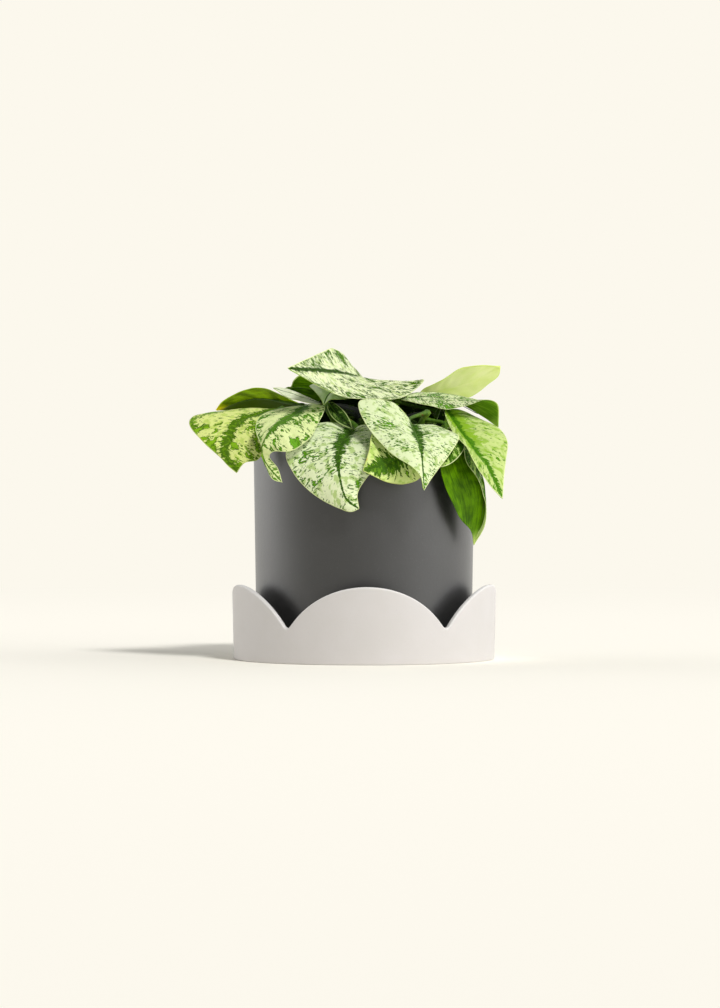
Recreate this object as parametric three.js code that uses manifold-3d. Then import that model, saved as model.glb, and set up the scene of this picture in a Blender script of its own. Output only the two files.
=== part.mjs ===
// A satin pothos in a straight-sided pot that stands in a scalloped saucer.
// Millimetres, +Z up. The origin is the centre of the saucer's underside, and -Y is the front.
import * as THREE from 'three';
import { mergeVertices } from 'three/addons/utils/BufferGeometryUtils.js';
import Module from 'manifold-3d';

const wasm = await Module();
wasm.setup();

// Driving dimensions
const POT_DIAMETER = 140;
const POT_FOOT_DIAMETER = 136;
const POT_HEIGHT = 130;
const POT_WALL = 4.5;
const POT_FLOOR = 5;
const POT_BEVEL = 2;
const POT_RIM_BEVEL = 1.4;
const DRAIN_RADIUS = 7;
const SAUCER_DIAMETER = 167;
const SAUCER_FOOT_DIAMETER = 165;
const SAUCER_WALL = 3.5;
const SAUCER_FLOOR = 4;
const SAUCER_BEVEL = 1.5;
const SAUCER_RIM_BEVEL = 1.2;
const SAUCER_FILLET = 3;
const LOBES = 5;
const LOBE_TOP = 47.5;
const LOBE_VALLEY = 21.5;
const LOBE_TURN = 1.2 * Math.PI / 180;
const MIX_BELOW_RIM = 13;
const MIX_BEVEL = 4;
const MIX_HEAP = 2.5;
const MIX_HEAP_RADIUS = 37;
const MIX_LUMP = 0.9;
const MIX_LUMP_SIZE = 8;
const SEAT_GAP = 0.3;
const SIDE_GAP = 0.5;
const STEM_RADIUS = 2.2;
const STEM_ROOT_DEPTH = 22;
const STEM_UPRIGHT = 2;
const STALK_RADIUS = 1.35;
const STALK_BELOW_RIB = 1.1;
const BLADE_THICKNESS = 0.8;
const BLADE_PUFF = 2;
const WIDE_HALF = 30;

// Shares: how the rib's points lag behind the margins', where the blade is widest, where along the
// rib the stalk is grown to it, and how the stalk's neck stands back from the blade and rises
const RIB_LAG = 1.6;
const WIDEST = 0.35;
const STALK_GROWN = [0.08, 0.2];
const NECK_BACK = 0.25;
const NECK_RISE = 0.04;

// Steps round and along the curved shapes
const LOBE_STEPS = 12;
const LOBE_CROWDING = 0.35;
const POT_STEPS = 54;
const MIX_STEPS = 30;
const MIX_RINGS = [1, 0.8, 0.55, 0.28, 0];
const STEM_SIDES = 8;
const STEM_STEPS = 6;
const STALK_SIDES = 5;
const STALK_STEPS = 6;
const BLADE_ROWS = 8;
const BLADE_COLUMNS = 6;
const WELD = 1e-3;
const TOLERANCE = 0.01;

const potFootZ = SAUCER_FLOOR + SEAT_GAP;
const potRimZ = potFootZ + POT_HEIGHT;
const mixTopZ = potRimZ - MIX_BELOW_RIM;

const rad = (degrees) => degrees * Math.PI / 180;
const vector = (p) => new THREE.Vector3(...p);
const smooth = (points) => new THREE.CatmullRomCurve3(points, false, 'centripetal');
const UP = new THREE.Vector3(0, 0, 1);

// Solids

/** Drops the faces that collapsed when a geometry's vertices were merged. */
function withoutSlivers(geometry) {
  const kept = [];
  const index = geometry.index.array;
  for (let i = 0; i < index.length; i += 3) {
    const [a, b, c] = [index[i], index[i + 1], index[i + 2]];
    if (a !== b && b !== c && c !== a) kept.push(a, b, c);
  }
  geometry.setIndex(kept);
  return geometry;
}

/** A closed geometry with one vertex at each point. */
function welded(geometry) {
  geometry.deleteAttribute('normal');
  geometry.deleteAttribute('uv');
  return withoutSlivers(mergeVertices(geometry, WELD));
}

/** A manifold-3d solid of a closed geometry. */
function solidOf(geometry) {
  const g = welded(geometry);
  return new wasm.Manifold(new wasm.Mesh({
    numProp: 3,
    vertProperties: new Float32Array(g.attributes.position.array),
    triVerts: new Uint32Array(g.index.array),
  }));
}

/** A three.js geometry of a manifold-3d solid. */
function geometryOf(solid) {
  const mesh = solid.getMesh();
  const geometry = new THREE.BufferGeometry();
  geometry.setAttribute('position', new THREE.BufferAttribute(mesh.vertProperties, 3));
  geometry.setIndex(new THREE.BufferAttribute(mesh.triVerts, 1));
  geometry.computeVertexNormals();
  return geometry;
}

/** A shape turned about the Z axis from a profile of [radius, height] points. */
function turned(profile, steps) {
  const lathe = new THREE.LatheGeometry(profile.map(([r, z]) => new THREE.Vector2(r, z)), steps);
  return lathe.rotateX(Math.PI / 2);
}

/** A closed round bar along a curve. */
function bar(points, radius, sides, steps) {
  const section = new THREE.Shape();
  for (let i = 0; i < sides; i += 1) {
    const angle = 2 * Math.PI * i / sides;
    const [x, y] = [radius * Math.cos(angle), radius * Math.sin(angle)];
    if (i === 0) section.moveTo(x, y);
    else section.lineTo(x, y);
  }
  return new THREE.ExtrudeGeometry(section, { steps, bevelEnabled: false, extrudePath: smooth(points) });
}

// Saucer

/** Height of the scalloped rim at an angle within one lobe, from -1 to 1 across it. */
function lobeHeight(across) {
  const halfChord = SAUCER_DIAMETER / 2 * Math.PI / LOBES;
  const rise = LOBE_TOP - LOBE_VALLEY;
  const arcRadius = (halfChord ** 2 + rise ** 2) / (2 * rise);
  const along = halfChord * Math.abs(across);
  return LOBE_TOP - arcRadius + Math.sqrt(arcRadius ** 2 - along ** 2);
}

function saucer() {
  const foot = SAUCER_FOOT_DIAMETER / 2;
  const rim = SAUCER_DIAMETER / 2;
  const profile = [
    [0, 0], [foot - SAUCER_BEVEL, 0], [foot, SAUCER_BEVEL],
    [rim, LOBE_TOP - SAUCER_RIM_BEVEL], [rim - SAUCER_RIM_BEVEL, LOBE_TOP],
    [rim - SAUCER_WALL + SAUCER_RIM_BEVEL, LOBE_TOP], [rim - SAUCER_WALL, LOBE_TOP - SAUCER_RIM_BEVEL],
    [foot - SAUCER_WALL, SAUCER_FLOOR + SAUCER_FILLET],
    [foot - SAUCER_WALL - SAUCER_FILLET, SAUCER_FLOOR], [0, SAUCER_FLOOR],
  ];
  const geometry = turned(profile, LOBES * LOBE_STEPS);
  const { position } = geometry.attributes;
  for (let i = 0; i < position.count; i += 1) {
    const [x, y, z] = [position.getX(i), position.getY(i), position.getZ(i)];
    const lobes = Math.atan2(y, x) / (2 * Math.PI / LOBES);
    const across = 2 * (lobes - Math.floor(lobes)) - 1;
    // The steps crowd towards the valleys, where the rim turns sharply
    const crowded = (1 + LOBE_CROWDING) * across - LOBE_CROWDING * across ** 3;
    const angle = (Math.floor(lobes) + (crowded + 1) / 2) * 2 * Math.PI / LOBES;
    const radius = Math.hypot(x, y);
    const isWall = z > SAUCER_FLOOR + SAUCER_FILLET + TOLERANCE;
    position.setXYZ(
      i,
      radius * Math.cos(angle),
      radius * Math.sin(angle),
      isWall ? z - LOBE_TOP + lobeHeight(crowded) : z,
    );
  }
  // One lobe faces the front
  return geometry.rotateZ(-Math.PI / 2 - Math.PI / LOBES + LOBE_TURN);
}

// Pot and potting mix

/** Outer radius of the pot at a height. */
function potRadius(z) {
  const share = (z - potFootZ) / POT_HEIGHT;
  return (POT_FOOT_DIAMETER + (POT_DIAMETER - POT_FOOT_DIAMETER) * share) / 2;
}

function pot() {
  const foot = POT_FOOT_DIAMETER / 2;
  const rim = POT_DIAMETER / 2;
  const floorZ = potFootZ + POT_FLOOR;
  const profile = [
    [DRAIN_RADIUS, potFootZ], [foot - POT_BEVEL, potFootZ], [foot, potFootZ + POT_BEVEL],
    [rim, potRimZ - POT_RIM_BEVEL], [rim - POT_RIM_BEVEL, potRimZ],
    [rim - POT_WALL + POT_RIM_BEVEL, potRimZ], [rim - POT_WALL, potRimZ - POT_RIM_BEVEL],
    [foot - POT_WALL, floorZ + POT_BEVEL], [foot - POT_WALL - POT_BEVEL, floorZ],
    [DRAIN_RADIUS, floorZ], [DRAIN_RADIUS, potFootZ],
  ];
  return turned(profile, POT_STEPS);
}

/** Height of the potting mix's surface, a little heaped and uneven. */
function mixHeight(x, y) {
  const heap = MIX_HEAP * Math.exp(-(x ** 2 + y ** 2) / MIX_HEAP_RADIUS ** 2);
  const waves = Math.sin(x / MIX_LUMP_SIZE) * Math.cos(y / MIX_LUMP_SIZE);
  const ridges = Math.sin((x + 2 * y) / MIX_LUMP_SIZE) / 2;
  return mixTopZ + heap + MIX_LUMP * (waves + ridges);
}

function pottingMix(vines) {
  const bottomZ = potFootZ + POT_FLOOR + SEAT_GAP;
  const sideRadius = (z) => potRadius(z) - POT_WALL - SIDE_GAP;
  const topRadius = sideRadius(mixTopZ);
  const profile = [
    [0, bottomZ], [sideRadius(bottomZ) - MIX_BEVEL, bottomZ],
    [sideRadius(bottomZ + MIX_BEVEL), bottomZ + MIX_BEVEL],
    ...MIX_RINGS.map((share) => [topRadius * share, mixTopZ]),
  ];
  const geometry = turned(profile, MIX_STEPS);
  const { position } = geometry.attributes;
  for (let i = 0; i < position.count; i += 1) {
    const [x, y, z] = [position.getX(i), position.getY(i), position.getZ(i)];
    if (z > mixTopZ - TOLERANCE) position.setZ(i, mixHeight(x, y));
  }
  let solid = solidOf(geometry);
  for (const vine of vines) {
    solid = solid.subtract(stemRoom(vine));
  }
  return geometryOf(solid);
}

// Vine stems: each stands in the mix at its root and leans to its top.
const VINES = {
  vine_middle: { root: [4, 4], bend: [5, 4, 148], top: [6, 6, 170] },
  vine_front: { root: [-8, -28], bend: [-15, -32, 142], top: [-24, -37, 160] },
  vine_front_left: { root: [-28, -16], bend: [-31, -19, 142], top: [-34, -22, 158] },
  vine_front_right: { root: [22, -22], bend: [31, -32, 140], top: [40, -40, 156] },
  vine_right: { root: [36, -6], bend: [41, -9, 142], top: [46, -14, 157] },
  vine_back_right: { root: [22, 20], bend: [25, 20, 144], top: [30, 20, 163] },
  vine_back_left: { root: [-18, 22], bend: [-20, 24, 144], top: [-22, 26, 158] },
  vine_left: { root: [-38, 2], bend: [-43, 1, 142], top: [-50, 0, 157] },
};

/** Points along a stem, from its root in the mix to its top. */
function stemPoints({ root: [x, y], bend, top }, rootDepth = STEM_ROOT_DEPTH) {
  return [[x, y, mixTopZ - rootDepth], [x, y, mixTopZ + STEM_UPRIGHT], bend, top].map(vector);
}

/** A stem with some room round it, for what it stands in or carries. */
function stemRoom(vine) {
  const points = stemPoints(vine, STEM_ROOT_DEPTH + SEAT_GAP);
  return solidOf(bar(points, STEM_RADIUS + SEAT_GAP, STEM_SIDES, STEM_STEPS));
}

// The leaves that the front shows. Each grows from its vine, at a share of the stem's length.
// Its rib runs from the stalk to the tip, and left and right are the margins that go with it,
// seen from above the upper side with the stalk behind.
const SHAPED_LEAVES = {
  leaf_top: {
    vine: 'vine_middle',
    at: 0.95,
    rib: [[0, 8, 178], [-18, -22, 181], [-31, -45, 181], [-47, -70, 181]],
    left: [
      [20, 6, 173], [38, 8, 177], [28, -10, 167], [9, -36, 163], [-13, -56, 164], [-29, -66, 171],
    ],
    right: [[-8, 20, 187], [-13, 20, 194], [-19, 8, 197], [-27, -14, 193], [-37, -44, 187]],
    puff: -1.5,
  },
  leaf_upper_right: {
    vine: 'vine_back_right',
    at: 0.95,
    rib: [[35, 20, 168], [52, 26, 172], [68, 30, 177], [88, 34, 187]],
    left: [[39, 30, 164], [56, 38, 164], [70, 42, 168], [81, 40, 176], [87, 38, 181]],
    right: [[38, 16, 172], [51, 14, 178], [62, 14, 185], [74, 20, 187], [83, 28, 187]],
  },
  leaf_right_flat: {
    vine: 'vine_right',
    at: 0.98,
    rib: [
      [23, -12, 164], [40, -12, 165], [57, -12, 163], [67, -16, 158], [75, -20, 153], [84, -26, 146],
    ],
    left: [[27, 0, 168], [39, 6, 169], [53, 8, 168], [67, 4, 165], [77, -6, 161], [82, -16, 153]],
    right: [
      [29, -26, 162], [41, -34, 159], [53, -38, 157], [66, -38, 160], [76, -36, 163], [83, -32, 160],
      [84, -28, 153],
    ],
  },
  leaf_right: {
    vine: 'vine_right',
    at: 0.88,
    rib: [[51, -28, 157], [59, -44, 144], [66, -51, 134], [74, -56, 124], [85, -60, 101]],
    left: [
      [59, -26, 157], [71, -24, 152], [84, -28, 145], [89, -36, 137], [88, -44, 126], [86, -54, 111],
    ],
    right: [[50, -36, 154], [54, -50, 144], [62, -60, 133], [68, -64, 122], [76, -65, 110]],
  },
  leaf_front_right: {
    vine: 'vine_front_right',
    at: 0.98,
    rib: [[29, -58, 147], [33, -75, 137], [35, -88, 127], [36, -95, 106]],
    left: [
      [42, -58, 146], [53, -56, 142], [58, -60, 139], [52, -70, 128], [45, -81, 119], [38, -91, 109],
    ],
    right: [
      [26, -60, 152], [19, -60, 159], [8, -62, 162], [-3, -66, 161], [0, -78, 148], [8, -87, 137],
      [18, -93, 127], [29, -95, 120], [34, -95, 114],
    ],
  },
  leaf_front: {
    vine: 'vine_front',
    at: 0.95,
    rib: [
      [-7, -50, 143], [-14, -68, 136], [-16, -80, 125], [-15, -84, 114], [-11, -83, 101],
      [-3, -80, 95],
    ],
    left: [
      [-1, -52, 147], [10, -58, 142], [12, -75, 131], [8, -80, 121], [1, -82, 113], [-4, -81, 104],
    ],
    right: [
      [-12, -47, 147], [-26, -49, 148], [-41, -60, 141], [-48, -66, 128], [-44, -69, 118],
      [-37, -72, 109], [-27, -76, 101], [-15, -79, 95], [-8, -80, 93],
    ],
  },
  leaf_front_low: {
    vine: 'vine_front_right',
    at: 0.8,
    rib: [[30, -74, 131], [22, -80, 126], [11, -86, 121], [-1, -89, 118]],
    left: [[34, -76, 123], [34, -78, 114], [25, -80, 110], [14, -84, 111], [5, -88, 115]],
    right: [[24, -74, 137], [14, -76, 142], [5, -80, 141], [3, -86, 131]],
    stalk: [[34, -44, 141], [31, -62, 138]],
  },
  leaf_front_left: {
    vine: 'vine_front_left',
    at: 0.88,
    rib: [
      [-35, -38, 159], [-42, -50, 154], [-52, -60, 148], [-59, -66, 141], [-63, -68, 133],
      [-61, -64, 124], [-50, -66, 111],
    ],
    left: [
      [-25, -44, 159], [-28, -60, 148], [-33, -70, 138], [-45, -73, 130], [-55, -69, 130],
      [-58, -65, 127], [-53, -64, 120],
    ],
    right: [
      [-40, -36, 159], [-53, -40, 157], [-64, -48, 152], [-67, -56, 144], [-64, -63, 135],
      [-61, -62, 123], [-56, -64, 113],
    ],
    stalk: [[-34, -31, 156]],
  },
  leaf_left: {
    vine: 'vine_left',
    at: 0.9,
    rib: [
      [-55, -12, 158], [-67, -18, 154], [-78, -24, 150], [-84, -32, 140], [-86, -40, 128],
      [-79, -44, 117],
    ],
    left: [[-50, -28, 152], [-55, -42, 140], [-61, -48, 131], [-66, -50, 125], [-74, -47, 123]],
    right: [
      [-65, -4, 157], [-79, 2, 158], [-95, 4, 156], [-108, -4, 154], [-110, -14, 148],
      [-101, -28, 137], [-91, -36, 128], [-84, -42, 121],
    ],
  },
  leaf_upper_left: {
    vine: 'vine_left',
    at: 0.98,
    rib: [[-41, 8, 162], [-57, 16, 165], [-73, 20, 166], [-95, 18, 158]],
    left: [[-48, 5, 165], [-59, 6, 170], [-69, 8, 172], [-80, 11, 169], [-91, 15, 163]],
    right: [[-47, 16, 160], [-59, 27, 159], [-73, 31, 158], [-87, 25, 158]],
  },
  leaf_upper_left_thin: {
    vine: 'vine_front_left',
    at: 0.98,
    rib: [[-27, -28, 161], [-38, -12, 165], [-49, -2, 169], [-58, 10, 172]],
    left: [[-29, -32, 160], [-39, -24, 162], [-49, -12, 166]],
    right: [[-33, -16, 164], [-43, -4, 169], [-51, 6, 172]],
  },
  leaf_under_top: {
    vine: 'vine_middle',
    at: 0.98,
    rib: [[-8, -10, 174], [-15, -24, 171], [-22, -40, 166], [-25, -52, 159]],
    left: [[-3, -14, 170], [1, -28, 165], [-10, -40, 163], [-21, -48, 162]],
    right: [[-22, -4, 176], [-34, -18, 172], [-31, -32, 168], [-27, -46, 163]],
  },
  leaf_left_dark: {
    vine: 'vine_back_left',
    at: 0.95,
    rib: [[-16, 6, 168], [-31, 12, 171], [-42, 16, 173], [-51, 20, 172]],
    left: [[-22, 6, 175], [-33, 10, 179], [-41, 12, 180], [-45, 14, 177], [-47, 18, 173]],
    right: [[-22, 14, 163], [-33, 20, 163], [-42, 22, 168]],
  },
  leaf_right_low: {
    vine: 'vine_right',
    at: 0.72,
    rib: [
      [64, -38, 138], [67, -40, 128], [71, -39, 118], [75, -33, 106], [73, -32, 90], [68, -36, 72],
    ],
    left: [
      [53, -46, 136], [48, -57, 128], [47, -61, 118], [52, -57, 103], [59, -50, 89], [66, -42, 81],
    ],
    right: [
      [62, -46, 136], [63, -49, 124], [69, -45, 115], [74, -38, 105], [76, -35, 97], [75, -34, 84],
    ],
    stalk: [[56, -24, 142]],
  },
  leaf_right_small: {
    vine: 'vine_front_right',
    at: 0.9,
    rib: [[51, -46, 145], [53, -55, 137], [50, -63, 127], [45, -68, 120]],
    left: [[57, -44, 141], [62, -51, 134], [59, -57, 128], [52, -64, 122]],
    right: [[45, -54, 143], [42, -66, 135], [43, -71, 127]],
  },
};

// The leaves behind and inside, which arch from their stalk towards a heading (0 is +X, 90 the back).
const PLAIN_LEAVES = {
  leaf_back_top: {
    vine: 'vine_middle', at: 0.9, base: [4, 26, 167], heading: 84,
    pitch: 6, droop: 46, length: 74, width: 28, fold: 2,
  },
  leaf_back_top_left: {
    vine: 'vine_back_left', at: 0.97, base: [-20, 32, 161], heading: 118,
    pitch: 4, droop: 50, length: 72, width: 28, fold: 0,
  },
  leaf_back: {
    vine: 'vine_back_left', at: 0.82, base: [2, 40, 151], heading: 90,
    pitch: 4, droop: 74, length: 76, width: 28, fold: 0,
  },
  leaf_back_left: {
    vine: 'vine_back_left', at: 0.75, base: [-32, 38, 144], heading: 134,
    pitch: 4, droop: 70, length: 60, width: 25, fold: 0,
  },
  leaf_back_right: {
    vine: 'vine_back_right', at: 0.8, base: [34, 32, 154], heading: 52,
    pitch: 4, droop: 72, length: 76, width: 28, fold: 4,
  },
  leaf_right_back: {
    vine: 'vine_right', at: 0.75, base: [52, 4, 146], heading: 22,
    pitch: 0, droop: 60, length: 50, width: 23, fold: 0,
  },
  leaf_left_back: {
    vine: 'vine_left', at: 0.75, base: [-50, 8, 151], heading: 170,
    pitch: 0, droop: 65, length: 44, width: 20, fold: 0,
  },
  leaf_low_left: {
    vine: 'vine_back_left', at: 0.6, base: [-20, 46, 140], heading: 116,
    pitch: 0, droop: 78, length: 66, width: 25, fold: 0,
  },
  leaf_low_right: {
    vine: 'vine_back_right', at: 0.6, base: [22, 44, 140], heading: 64,
    pitch: 0, droop: 78, length: 68, width: 25, fold: 0,
  },
  leaf_inside: {
    vine: 'vine_middle', at: 0.7, base: [-2, -8, 158], heading: 262,
    pitch: -10, droop: 30, length: 36, width: 21,
  },
  leaf_inside_right: {
    vine: 'vine_front_right', at: 0.7, base: [26, -20, 153], heading: 300,
    pitch: -10, droop: 25, length: 32, width: 15,
  },
};

// A flat leaf's margin from the back of its lobe to near the tip, as shares of length and half width.
const PLAIN_MARGIN = [[-0.13, 0.4], [-0.06, 0.85], [0.18, 1.0], [0.48, 0.83], [0.75, 0.42], [0.9, 0.15]];

/** The rib and margins of a leaf that arches in one plane. */
function arched(leaf) {
  const { base, heading, pitch, droop, length, width, fold = 12 } = leaf;
  const ahead = new THREE.Vector3(Math.cos(rad(heading)), Math.sin(rad(heading)), 0);
  const right = new THREE.Vector3(Math.sin(rad(heading)), -Math.cos(rad(heading)), 0);
  // The rib is an arc: its slope falls evenly from the pitch at the stalk
  const place = (share, out, side) => {
    const turn = rad(droop) / length;
    const start = rad(pitch);
    const angle = start - turn * length * share;
    const forward = (Math.sin(start) - Math.sin(angle)) / turn;
    const rise = (Math.cos(angle) - Math.cos(start)) / turn;
    const lift = out * Math.sin(rad(fold));
    return vector(base).addScaledVector(ahead, forward - lift * Math.sin(angle))
      .addScaledVector(UP, rise + lift * Math.cos(angle))
      .addScaledVector(right, side * out * Math.cos(rad(fold))).toArray();
  };
  return {
    ...leaf,
    rib: [0, 0.33, 0.67, 1].map((share) => place(share, 0, 0)),
    left: PLAIN_MARGIN.map(([along, out]) => place(along, out * width, -1)),
    right: PLAIN_MARGIN.map(([along, out]) => place(along, out * width, 1)),
  };
}

const LEAVES = { ...SHAPED_LEAVES };
for (const [name, leaf] of Object.entries(PLAIN_LEAVES)) LEAVES[name] = arched(leaf);

/** The curves that a leaf's blade is stretched between. */
function railsOf({ rib, left, right }) {
  const ends = [vector(rib[0]), vector(rib[rib.length - 1])];
  return {
    rib: smooth(rib.map(vector)),
    left: smooth([ends[0], ...left.map(vector), ends[1]]),
    right: smooth([ends[0], ...right.map(vector), ends[1]]),
  };
}

/** A point of the blade's upper side: across runs from -1 at the left margin to 1 at the right one. */
function bladePoint(leaf, rails, across, along) {
  const alongRib = along ** RIB_LAG;
  const point = rails.rib.getPointAt(alongRib);
  const margin = (across < 0 ? rails.left : rails.right).getPointAt(along);
  const out = Math.abs(across);
  const half = margin.sub(point).multiplyScalar(Math.sign(across));
  const puff = half.clone().cross(rails.rib.getTangentAt(alongRib));
  const height = (leaf.puff ?? BLADE_PUFF) * 4 * out * (1 - out) / WIDE_HALF;
  return point.addScaledVector(half, across).addScaledVector(puff, height);
}

/** The upper side of a blade as a grid, welded where the grid closes up at the stalk and the tip. */
function upperSide(leaf) {
  const rails = railsOf(leaf);
  const grid = new THREE.PlaneGeometry(2, 1, BLADE_COLUMNS, BLADE_ROWS);
  const { position, uv } = grid.attributes;
  for (let i = 0; i < position.count; i += 1) {
    const point = bladePoint(leaf, rails, 2 * uv.getX(i) - 1, 1 - uv.getY(i));
    position.setXYZ(i, point.x, point.y, point.z);
  }
  const index = grid.index.array;
  for (let i = 0; i < index.length; i += 3) [index[i], index[i + 1]] = [index[i + 1], index[i]];
  const side = welded(grid);
  side.computeVertexNormals();
  return side;
}

/** A closed shell of even thickness below an open surface. */
function thickened(surface, thickness) {
  const top = surface.attributes.position;
  const normal = surface.attributes.normal;
  const { count } = top;
  const points = new Float32Array(count * 6);
  points.set(top.array);
  for (let i = 0; i < count * 3; i += 1) {
    points[count * 3 + i] = top.array[i] - thickness * normal.array[i];
  }
  const faces = [];
  const edges = new Map();
  const index = surface.index.array;
  for (let i = 0; i < index.length; i += 3) {
    const corners = [index[i], index[i + 1], index[i + 2]];
    faces.push(...corners, corners[2] + count, corners[1] + count, corners[0] + count);
    corners.forEach((from, k) => {
      const to = corners[(k + 1) % 3];
      // An edge that a neighbour shares is passed both ways and cancels out
      if (!edges.delete(`${to} ${from}`)) edges.set(`${from} ${to}`, [from, to]);
    });
  }
  for (const [from, to] of edges.values()) {
    faces.push(to, from, from + count, to, from + count, to + count);
  }
  const shell = new THREE.BufferGeometry();
  shell.setAttribute('position', new THREE.BufferAttribute(points, 3));
  shell.setIndex(faces);
  return shell;
}

/** The stalk: from the vine's stem to the blade, and on under the first part of the rib. */
function stalk(leaf) {
  const rails = railsOf(leaf);
  const from = smooth(stemPoints(VINES[leaf.vine])).getPointAt(leaf.at);
  const toRight = rails.right.getPointAt(WIDEST).sub(rails.left.getPointAt(WIDEST));
  const below = (along) => {
    const up = toRight.clone().cross(rails.rib.getTangentAt(along)).normalize();
    return rails.rib.getPointAt(along).addScaledVector(up, -STALK_BELOW_RIB);
  };
  const base = below(0);
  const span = from.distanceTo(base);
  const neck = base.clone().addScaledVector(rails.rib.getTangentAt(0), -span * NECK_BACK)
    .addScaledVector(UP, span * NECK_RISE);
  const between = leaf.stalk ? leaf.stalk.map(vector) : [neck];
  const route = [from, ...between, base, ...STALK_GROWN.map(below)];
  return bar(route, STALK_RADIUS, STALK_SIDES, STALK_STEPS);
}

function leafGeometry(leaf) {
  const blade = solidOf(thickened(upperSide(leaf), BLADE_THICKNESS));
  const solid = blade.add(solidOf(stalk(leaf))).subtract(stemRoom(VINES[leaf.vine]));
  const [largest] = solid.decompose().sort((a, b) => b.volume() - a.volume());
  return geometryOf(largest);
}

// Assembly

const finish = (color, roughness) => new THREE.MeshStandardMaterial({ color, roughness, metalness: 0 });
const saucerGlaze = finish(0xd9d4ce, 0.5);
const potGlaze = finish(0x4a4a49, 0.45);
const mixSkin = finish(0x3a2a20, 0.95);
const stemSkin = finish(0x6f8a3c, 0.55);
const leafSkin = finish(0x8fbf5f, 0.5);

const plant = new THREE.Group();

function place(name, geometry, material) {
  const mesh = new THREE.Mesh(geometry, material);
  mesh.name = name;
  plant.add(mesh);
}

place('saucer', welded(saucer()), saucerGlaze);
place('pot', welded(pot()), potGlaze);
place('potting_mix', pottingMix(Object.values(VINES)), mixSkin);
for (const [name, vine] of Object.entries(VINES)) {
  place(name, welded(bar(stemPoints(vine), STEM_RADIUS, STEM_SIDES, STEM_STEPS)), stemSkin);
}
for (const [name, leaf] of Object.entries(LEAVES)) {
  place(name, leafGeometry(leaf), leafSkin);
}

export default plant;
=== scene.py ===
"""A satin pothos in a straight grey pot that stands in a scalloped saucer, dressed for the studio.

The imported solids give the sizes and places. Each class below replaces its own solids with finer
meshes on the same lines and dresses them with procedural finishes.
Plans are in millimetres, and MM turns them into the scene's metres.
"""

import logging
import math
import random
from bisect import bisect_left
from collections.abc import Callable, Iterable, Sequence
from dataclasses import dataclass, field
from enum import Enum
from typing import Any

import bmesh
import bpy
from mathutils import Matrix, Vector, noise

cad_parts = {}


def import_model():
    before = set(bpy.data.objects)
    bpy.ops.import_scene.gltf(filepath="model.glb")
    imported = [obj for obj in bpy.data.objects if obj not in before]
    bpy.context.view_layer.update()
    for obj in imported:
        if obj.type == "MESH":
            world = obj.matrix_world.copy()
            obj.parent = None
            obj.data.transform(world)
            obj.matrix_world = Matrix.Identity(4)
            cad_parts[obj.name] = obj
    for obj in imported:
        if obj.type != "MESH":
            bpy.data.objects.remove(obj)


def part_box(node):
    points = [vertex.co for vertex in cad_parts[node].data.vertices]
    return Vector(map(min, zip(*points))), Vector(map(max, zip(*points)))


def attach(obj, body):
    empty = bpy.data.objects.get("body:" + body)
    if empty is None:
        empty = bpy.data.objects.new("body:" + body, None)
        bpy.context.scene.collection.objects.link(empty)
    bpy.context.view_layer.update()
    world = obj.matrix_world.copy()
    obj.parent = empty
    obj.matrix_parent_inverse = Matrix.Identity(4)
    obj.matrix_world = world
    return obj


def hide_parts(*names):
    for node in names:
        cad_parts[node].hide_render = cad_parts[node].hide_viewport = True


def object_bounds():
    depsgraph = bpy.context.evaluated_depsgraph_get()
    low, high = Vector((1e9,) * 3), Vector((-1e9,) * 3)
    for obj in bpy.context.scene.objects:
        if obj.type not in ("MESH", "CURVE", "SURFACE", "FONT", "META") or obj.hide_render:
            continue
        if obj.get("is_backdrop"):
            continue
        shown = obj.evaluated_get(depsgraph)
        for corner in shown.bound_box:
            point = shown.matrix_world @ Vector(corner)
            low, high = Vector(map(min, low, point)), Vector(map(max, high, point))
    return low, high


MM = 0.001
CM = 10 * MM
WELD = MM * 0.01
BODY = "root"
Point = tuple[float, float, float]
Colour = tuple[float, float, float]
Socket = bpy.types.NodeSocket
Material = bpy.types.Material
Mesh = bmesh.types.BMesh

# The curve of a screen's colours: a straight toe, and above it a power
TOE, TOE_SLOPE, LIFT, GAMMA = 0.04045, 12.92, 0.055, 2.4

log = logging.getLogger("pothos")


def linear(level: int) -> float:
    """A screen's level, 0 to 255, as linear light."""
    share = level / 255
    return share / TOE_SLOPE if share <= TOE else ((share + LIFT) / (1 + LIFT)) ** GAMMA


def srgb(red: int, green: int, blue: int) -> Colour:
    """Turns a colour as a screen shows it, 0 to 255, into linear light."""
    return linear(red), linear(green), linear(blue)


def smoothstep(low: float, high: float, value: float) -> float:
    """Rises smoothly from 0 at low to 1 at high."""
    share = min(max((value - low) / (high - low), 0.0), 1.0)
    return share * share * (3 - 2 * share)


# Shader maths


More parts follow.
